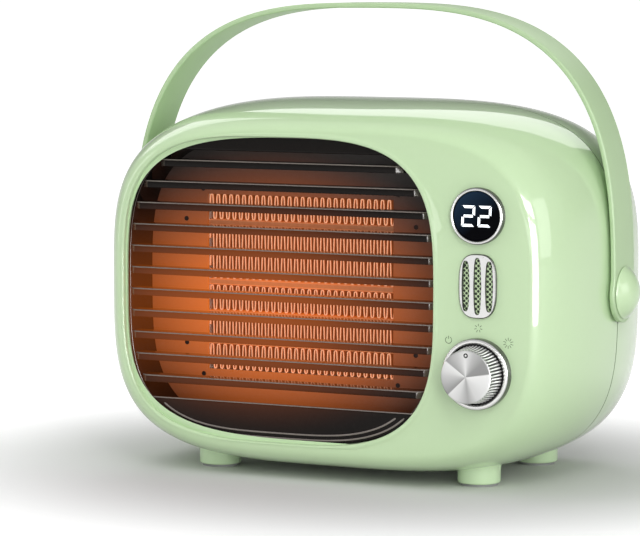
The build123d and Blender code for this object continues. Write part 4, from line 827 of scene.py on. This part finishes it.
digitLight, tree, surface = blank("digitLight")
grain = put(tree, "ShaderNodeTexNoise", {"Vector": objectPlace(tree), "Scale": 500.0}).outputs["Fac"]
fill(tree, surface, {"Emission Color": mixShade(tree, grain, (0.86, 0.94, 1, 1), (1, 1, 1, 1)),
                     "Emission Strength": 1.0, "Base Color": (0.8, 0.85, 0.9, 1)})

digits = {"text": "22", "tall": 10.0, "wide": 6.8, "stroke": 1.25, "gap": 0.3, "pitch": 8.3, "lean": 0.04,
          "reach": 69.97, "thick": 0.03}
wide, tall, stroke, gap = digits["wide"] / 2, digits["tall"] / 2, digits["stroke"], digits["gap"]
across, inner, side, middle = wide - gap, wide - stroke - gap, wide - stroke, wide - stroke * 0.6 - gap
topBar = np.array([[(-across, tall), (across, tall)], [(-inner, tall - stroke), (inner, tall - stroke)]])
rightBar = np.array([[(wide, tall - gap), (wide, gap)],
                     [(side, tall - stroke - gap), (side, gap + stroke / 2)]])
midBar = np.array([[(-middle, stroke / 2), (middle, stroke / 2)],
                   [(-middle, -stroke / 2), (middle, -stroke / 2)]])
lit = {"2": (topBar, rightBar, midBar, -rightBar, -topBar)}  # the bars of each digit, by their two lines
leaning = np.array([(1, 0), (digits["lean"], 1)])  # moves x by a share of z
digitMarks = []
for place, symbol in enumerate(digits["text"]):
    midX = panel["x"] + (place - (len(digits["text"]) - 1) / 2) * digits["pitch"]
    digitMarks += [lines @ leaning + (midX, panel["displayZ"]) for lines in lit[symbol]]
flatMarks("displayDigits", digitMarks, digits["reach"], digits["thick"], "body", "dark_glass", digitLight)

# Icons round the knob: an open ring with a bar, and two small suns of short rays
icons = {"away": 21.6, "stroke": 0.32, "ring": 1.45, "ringOpen": (120, 420), "bar": (0.5, 2.0),
         "suns": {90: (7, 2.1), 45: (10, 2.6)}, "ringAt": 135, "lift": 0.01, "thick": 0.02}


def iconMiddle(turn):
    return np.array([panel["x"] + icons["away"] * math.cos(math.radians(turn)),
                     panel["knobZ"] + icons["away"] * math.sin(math.radians(turn))])


def bar(middle, turn, start, end):
    along = np.array([math.cos(turn), math.sin(turn)])
    side = np.array([-math.sin(turn), math.cos(turn)]) * icons["stroke"] / 2
    line = middle + np.array([[start], [end]]) * along
    return line - side, line + side


steps = np.radians(np.linspace(*icons["ringOpen"], 25))
arc = np.stack([np.cos(steps), np.sin(steps)], -1)
ringMiddle = iconMiddle(icons["ringAt"])
iconMarks = [bar(ringMiddle, math.pi / 2, *icons["bar"]),
             [ringMiddle + radius * arc for radius in (icons["ring"], icons["ring"] + icons["stroke"])]]
for turn, (rays, size) in icons["suns"].items():
    iconMarks += [bar(iconMiddle(turn), math.pi / 2 + 2 * math.pi * ray / rays, 0.45 * size, size)
                  for ray in range(rays)]
flatMarks("panelIcons", iconMarks, panel["front"] + icons["lift"], icons["thick"],
          "body", "mint_shell", finish["iconInk"])

# Vent trim: a rounded plate of three cells; each runs from a barrel slot to its own part of the plate's edge
trim = {"wide": 9.5, "tall": 15.2, "power": 3.0, "front": 68.6, "back": 67.0, "split": 3.0, "bevel": 0.42,
        "slots": ((-6.0, 1.8, 11.7), (0.0, 1.8, 13.2), (6.0, 1.8, 11.7)), "slotPower": 3.4,
        "edgeDrop": 0.3, "slotBevel": 0.28}
outlineTurn = fullTurn(240)
outlineRay = roundedRadius(outlineTurn, trim["wide"], trim["tall"], trim["tall"], trim["power"])
outlineX, _, outlineZ = polarRing(outlineRay, outlineTurn)
split, edgeDrop, trimFront, trimBack = trim["split"], trim["edgeDrop"], trim["front"], trim["back"]
ventPlace = [ventAt[0], 0, ventAt[1]]
splitTop = trim["tall"] * (1 - (split / trim["wide"]) ** trim["power"]) ** (1 / trim["power"])
splitZ = np.linspace(-splitTop, splitTop, 41)
trimParts = []
for midX, slotWide, slotTall in trim["slots"]:
    lines = [line for line in (-split, split) if abs(line - midX) < split + 0.1]
    own = np.abs(outlineX - np.clip(midX, -split, split) * 4) < split * (1 if midX == 0 else 3)
    x = np.concatenate([outlineX[own]] + [np.full_like(splitZ, line) for line in lines])
    z = np.concatenate([outlineZ[own]] + [splitZ for _ in lines])
    between = np.concatenate([np.zeros(own.sum(), bool)] + [np.abs(splitZ) < splitTop - 0.01 for _ in lines])
    order = np.argsort(np.arctan2(z, x - midX))
    x, z, between = x[order], z[order], between[order]
    lean = np.arctan2(z, x - midX)
    slotRay = roundedRadius(lean, slotWide, slotTall, slotTall, trim["slotPower"])
    inset = np.where(between, 1, 1 - trim["bevel"] / np.hypot(x, z))
    rings = [(x, trimBack, z), (x, trimFront - np.where(between, 0, edgeDrop), z),
             (x * inset, trimFront, z * inset)]
    rings += [polarRing(slotRay + widen, lean, reach, (midX, 0))
              for widen, reach in ((trim["slotBevel"], trimFront), (0, trimFront - edgeDrop), (0, trimBack))]
    cellQuads = ringQuads(len(rings), len(x)).reshape(len(rings), len(x), 4)
    shared = between | np.roll(between, -1)  # no wall where two cells meet
    kept = np.concatenate([cellQuads[:2, ~shared].reshape(-1, 4), cellQuads[2:].reshape(-1, 4)])
    trimParts.append((stackRings(rings) + ventPlace, kept))
ventTrim = addPiece("ventTrim", *joined(trimParts), "body", "silver_trim", finish["silverTrim"], 30.0)
# Painted shade: a dark finish on the plate's own edge and in the slots
trimX, _, trimZ = (faceRows(ventTrim, "center") - ventPlace).T
outward = np.abs(trimX / trim["wide"]) ** trim["power"] + np.abs(trimZ / trim["tall"]) ** trim["power"]
shadedEdging = outward ** (1 / trim["power"]) > 0.97
for midX, slotWide, slotTall in trim["slots"]:
    lean = np.arctan2(trimZ, trimX - midX)
    slotRay = roundedRadius(lean, slotWide, slotTall, slotTall, trim["slotPower"])
    shadedEdging |= np.hypot(trimX - midX, trimZ) < slotRay + 0.2
paintFaces(ventTrim, finish["trimEdgeShade"], shadedEdging)
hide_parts("vent_trim")

# Mesh behind the vent: diamond cells side by side, each with a round hole, on a dark sheet of painted shade
# that shows through
vent = {"pitch": 2.4, "hole": 0.72, "front": 0.32, "sheet": 0.1, "back": 0.02, "inset": 1.0, "sunk": 0.02,
        "cellSteps": 16}
cellSteps, halfPitch, power = vent["cellSteps"], vent["pitch"] / 2, trim["power"]
sheetTurn = fullTurn(96)
sheetWide, sheetTall = trim["wide"] - vent["inset"], trim["tall"] - vent["inset"]
sheetRay = roundedRadius(sheetTurn, sheetWide, sheetTall, sheetTall, power)
sheetFront, sheetBack, cellBack = vent["sheet"], vent["back"], vent["sheet"] - vent["sunk"]
sheetRings = [polarRing(share * sheetRay, sheetTurn, panel["front"] + lift) for share, lift in (
    (0.001, sheetFront), (1, sheetFront), (1, sheetBack), (0.001, sheetBack))]
cellColumn, cellRow = (grid.ravel() for grid in np.meshgrid(np.arange(-12, 13), np.arange(-16, 17)))
farX = (np.abs(cellColumn) + 0.5) * halfPitch / sheetWide
farZ = (np.abs(cellRow) + 0.5) * halfPitch / sheetTall
inField = ((cellColumn + cellRow) % 2 == 0) & (farX ** power + farZ ** power < 1)
cells = list(zip(cellColumn[inField].tolist(), cellRow[inField].tolist()))
cellTurn = fullTurn(cellSteps)
diamond = halfPitch / (np.abs(np.cos(cellTurn)) + np.abs(np.sin(cellTurn)))
cellRings = [polarRing(ray, cellTurn, panel["front"] + lift) for ray, lift in (
    (diamond, vent["front"]), (vent["hole"], vent["front"]), (vent["hole"], cellBack), (diamond, cellBack))]
oneCell, oneQuads = stackRings(cellRings), ringQuads(4, cellSteps).reshape(4, cellSteps, 4)
meshParts = [closedRings(sheetRings)]
for column, row in cells:
    besides = [(column + 1, row + 1), (column - 1, row + 1), (column - 1, row - 1), (column + 1, row - 1)]
    outer = np.repeat([place not in cells for place in besides], cellSteps // 4)  # walls at the field's edge
    quads = np.concatenate([oneQuads[:3].reshape(-1, 4), oneQuads[3, outer]])
    meshParts.append((oneCell + [column * halfPitch, 0, row * halfPitch], quads))
points, quads = joined(meshParts)
meshPiece = addPiece("ventMesh", points + ventPlace, quads, "body", "green_mesh", finish["meshSheet"], 30.0)
# The sheet under the cells is painted shade
behind = faceRows(meshPiece, "center")[:, 1] > seamY - panel["front"] - sheetFront - 0.01
paintFaces(meshPiece, finish["meshShade"], behind)
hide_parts("vent_mesh")

# Lens: near black, with a painted blue reflection that grows toward its upper left
lens = {"slope": (-0.6, 0.0, 0.8), "from": -0.004, "to": 0.012}
finish["smokedGlass"], tree, surface = blank("smokedGlass")
slant = vectorStep(tree, "DOT_PRODUCT", objectPlace(tree), lens["slope"])
start = 0.001 * (lens["slope"][0] * panel["x"] + lens["slope"][2] * panel["displayZ"])
blueReflection = rangeStep(tree, slant, start + lens["from"], start + lens["to"])
fill(tree, surface, {"Base Color": mixShade(tree, blueReflection, (0.002, 0.002, 0.003, 1), (0.012, 0.028, 0.055, 1)),
                     "Roughness": 0.05, "Specular IOR Level": 0.02})
print("controls built")


# Finishes for the solids that stay as they are
carried = {
    "baffleSheet": ["baffle_plate"],
    "glowOrangeMetal": ["electrode_plates", "fin_dividers"],
    "paleMoulding": ["ptc_frame", "thermal_cutout", "thermal_fuse"],
    "firedCeramic": ["ptc_stones"],
    "steelPlain": ["bracket_screws", "motor_screws", "board_screws", "housing_screws", "motor_bracket",
                   "motor_shaft", "motor_can", "motor_end_plate", "switch_nut", "switch_shaft"],
    "blackScrew": ["baffle_screws", "frame_screws", "duct_screws"],
    "ironCore": ["motor_stator", "motor_rotor"],
    "bronzeBush": ["motor_bushes"],
    "blackPlastic": ["air_duct", "fan_impeller", "rotary_switch", "tilt_switch", "display_module",
                     "knob_dish", "room_sensor", "terminal_block"],
    "boardMask": ["control_board"],
    "smokedGlass": ["display_lens"],
    "nylonPale": ["left_pivot_bush", "right_pivot_bush", "pivot_washers"],
    "rubberGrey": ["foot_pads", "cord_gland"],
    "filterCloth": ["dust_filter"],
    "leadCover": ["heater_leads", "motor_leads", "mains_leads"],
}
for material, names in carried.items():
    for name in names:
        nodes[name].data.materials.clear()
        nodes[name].data.materials.append(finish[material])
print("solids finished:", sum(len(names) for names in carried.values()))


# Floor, light and camera, in metres

stage = {"half": 6.0, "riseStart": 2.2, "riseRadius": 1.6, "oval": (0.15, 0.14, 0.15), "pale": (0.7, 2.3),
         "paleMost": 0.8, "upper": (0.2, 1.0), "dark": (0.16, 0.16, 0.16), "glossWhite": (0.55, 0.06),
         "skyStrength": 0.45}
bend = np.linspace(0, np.pi / 2, 16)
half, riseStart, riseRadius = stage["half"], stage["riseStart"], stage["riseRadius"]
floorY = np.r_[-half, riseStart + riseRadius * np.sin(bend), riseStart + riseRadius]
floorZ = np.r_[0.0, riseRadius * (1 - np.cos(bend)), half]
floorGrid = np.broadcast_arrays(np.linspace(-half, half, 3), floorY[:, None], floorZ[:, None])
floorMesh = bpy.data.meshes.new("floor")
floorMesh.from_pydata(np.stack(floorGrid, -1).reshape(-1, 3).tolist(), [],
                      ringQuads(len(floorY), 3, False, False).tolist())
floorMesh.polygons.foreach_set("use_smooth", np.ones(len(floorMesh.polygons), bool))
floor = bpy.data.objects.new("floor", floorMesh)
bpy.context.scene.collection.objects.link(floor)
floorFinish = noisyFinish("floorFinish", (0.64, 0.64, 0.64), (0.66, 0.66, 0.66), (0.55, 0.65), 3.0)
# Painted light on the floor: an emission that grows with the oval distance from the object, so that near it
# the floor keeps a painted darker shade and further off it shows white to the eye, and less in the gloss; in
# the gloss its upper part is painted dark
tree = floorFinish.node_tree
floorSurface = tree.nodes["Principled BSDF"]
paleShade = floorSurface.inputs["Base Color"].links[0].from_socket
rays = put(tree, "ShaderNodeLightPath").outputs
place = objectPlace(tree)
far = scaledLength(tree, place, tuple(1 / size for size in stage["oval"]))
paintedLift = rangeStep(tree, far, *stage["pale"], 0.0, stage["paleMost"], "SMOOTHSTEP")
upper = rangeStep(tree, put(tree, "ShaderNodeSeparateXYZ", {"Vector": place}).outputs["Z"], *stage["upper"])
glossDarkening = mathStep(tree, "MULTIPLY", rays["Is Glossy Ray"], upper)
white = rangeStep(tree, upper, 0.0, 1.0, *stage["glossWhite"])
gloss = mathStep(tree, "MULTIPLY", rays["Is Glossy Ray"], white)
seen = mathStep(tree, "MAXIMUM", rays["Is Camera Ray"], gloss)
fill(tree, floorSurface, {"Base Color": mixShade(tree, glossDarkening, paleShade, (*stage["dark"], 1)),
                          "Emission Color": (1, 1, 1, 1), "Specular IOR Level": 0.0,
                          "Emission Strength": mathStep(tree, "MULTIPLY", paintedLift, seen)})
floorMesh.materials.append(floorFinish)

world = bpy.data.worlds.new("studio")
bpy.context.scene.world = world
world.use_nodes = True
fill(world.node_tree, world.node_tree.nodes["Background"],
     {"Color": (1, 1, 1, 1), "Strength": stage["skyStrength"]})

# Each lamp: place, aim, size, power, and whether it lights the surface, shows in its gloss, or both
lamps = {
    "key": ((0.95, -1.2, 1.45), (0, 0, 0.1), (1.0, 0.8), 8.0, "light"),
    "fill": ((-0.9, -1.3, 1.2), (0, 0, 0.1), (1.2, 1.0), 1.6, "light"),
    "top": ((-0.55, 0.12, 1.25), (-0.1, 0, 0.12), (1.9, 0.42), 6.0, "light"),
    "rim": ((-0.59, 0.92, 0.9), (-0.05, 0, 0.15), (2.2, 0.44), 4.4, "gloss"),
    "front": ((0.99, -1.27, 0.5), (0.1, 0, 0.5), (0.22, 1.0), 7.0, "light"),
    "low": ((0.5, -1.7, 0.12), (0, 0, 0.06), (1.8, 0.2), 3.0, "both"),
    "right": ((1.8, -0.1, 0.5), (0, 0, 0.1), (0.9, 0.9), 6.8, "both"),
    "left": ((-1.5, -0.7, 0.45), (0, 0, 0.15), (0.25, 0.9), 2.5, "both"),
}
# A window of four panes, seen in the gloss of the right corner
window = {"middle": (0.50, -0.44), "along": (0.707, 0.707), "offsets": (-0.1, 0.1), "wide": 0.17,
          "rows": ((0.12, 0.21), (0.325, 0.13)), "glow": 56.0}
alongX, alongY = window["along"]
for across in window["offsets"]:
    for height, tall in window["rows"]:
        spot = (window["middle"][0] + across * alongX, window["middle"][1] + across * alongY, height)
        target = (spot[0] - alongY, spot[1] + alongX, height)
        power = window["glow"] * window["wide"] * tall
        lamps[f"pane{len(lamps)}"] = (spot, target, (window["wide"], tall), power, "gloss")
for name, (spot, target, size, power, share) in lamps.items():
    lamp = bpy.data.lights.new(name, "AREA")
    lamp.shape = "RECTANGLE"
    lamp.size, lamp.size_y = size
    lamp.energy = power
    holder = bpy.data.objects.new(name, lamp)
    holder.visible_diffuse = share != "gloss"
    holder.visible_glossy = share != "light"
    holder.visible_camera = False
    aim = np.array(target) - np.array(spot)
    holder.location = spot
    holder.rotation_euler = (math.atan2(math.hypot(aim[0], aim[1]), -aim[2]), 0, math.atan2(-aim[0], aim[1]))
    bpy.context.scene.collection.objects.link(holder)

view = {"sensor": 36.0, "lens": 178.9, "place": (0.6696, -1.43005, 0.2504), "down": 5.44, "turn": 26.0}
eye = bpy.data.cameras.new("eye")
eye.sensor_width = view["sensor"]
eye.lens = view["lens"]
camera = bpy.data.objects.new("eye", eye)
camera.location = view["place"]
camera.rotation_euler = (math.radians(90 - view["down"]), 0, math.radians(view["turn"]))
bpy.context.scene.collection.objects.link(camera)
bpy.context.scene.camera = camera
bpy.context.scene.view_settings.view_transform = "Standard"
print("stage ready")
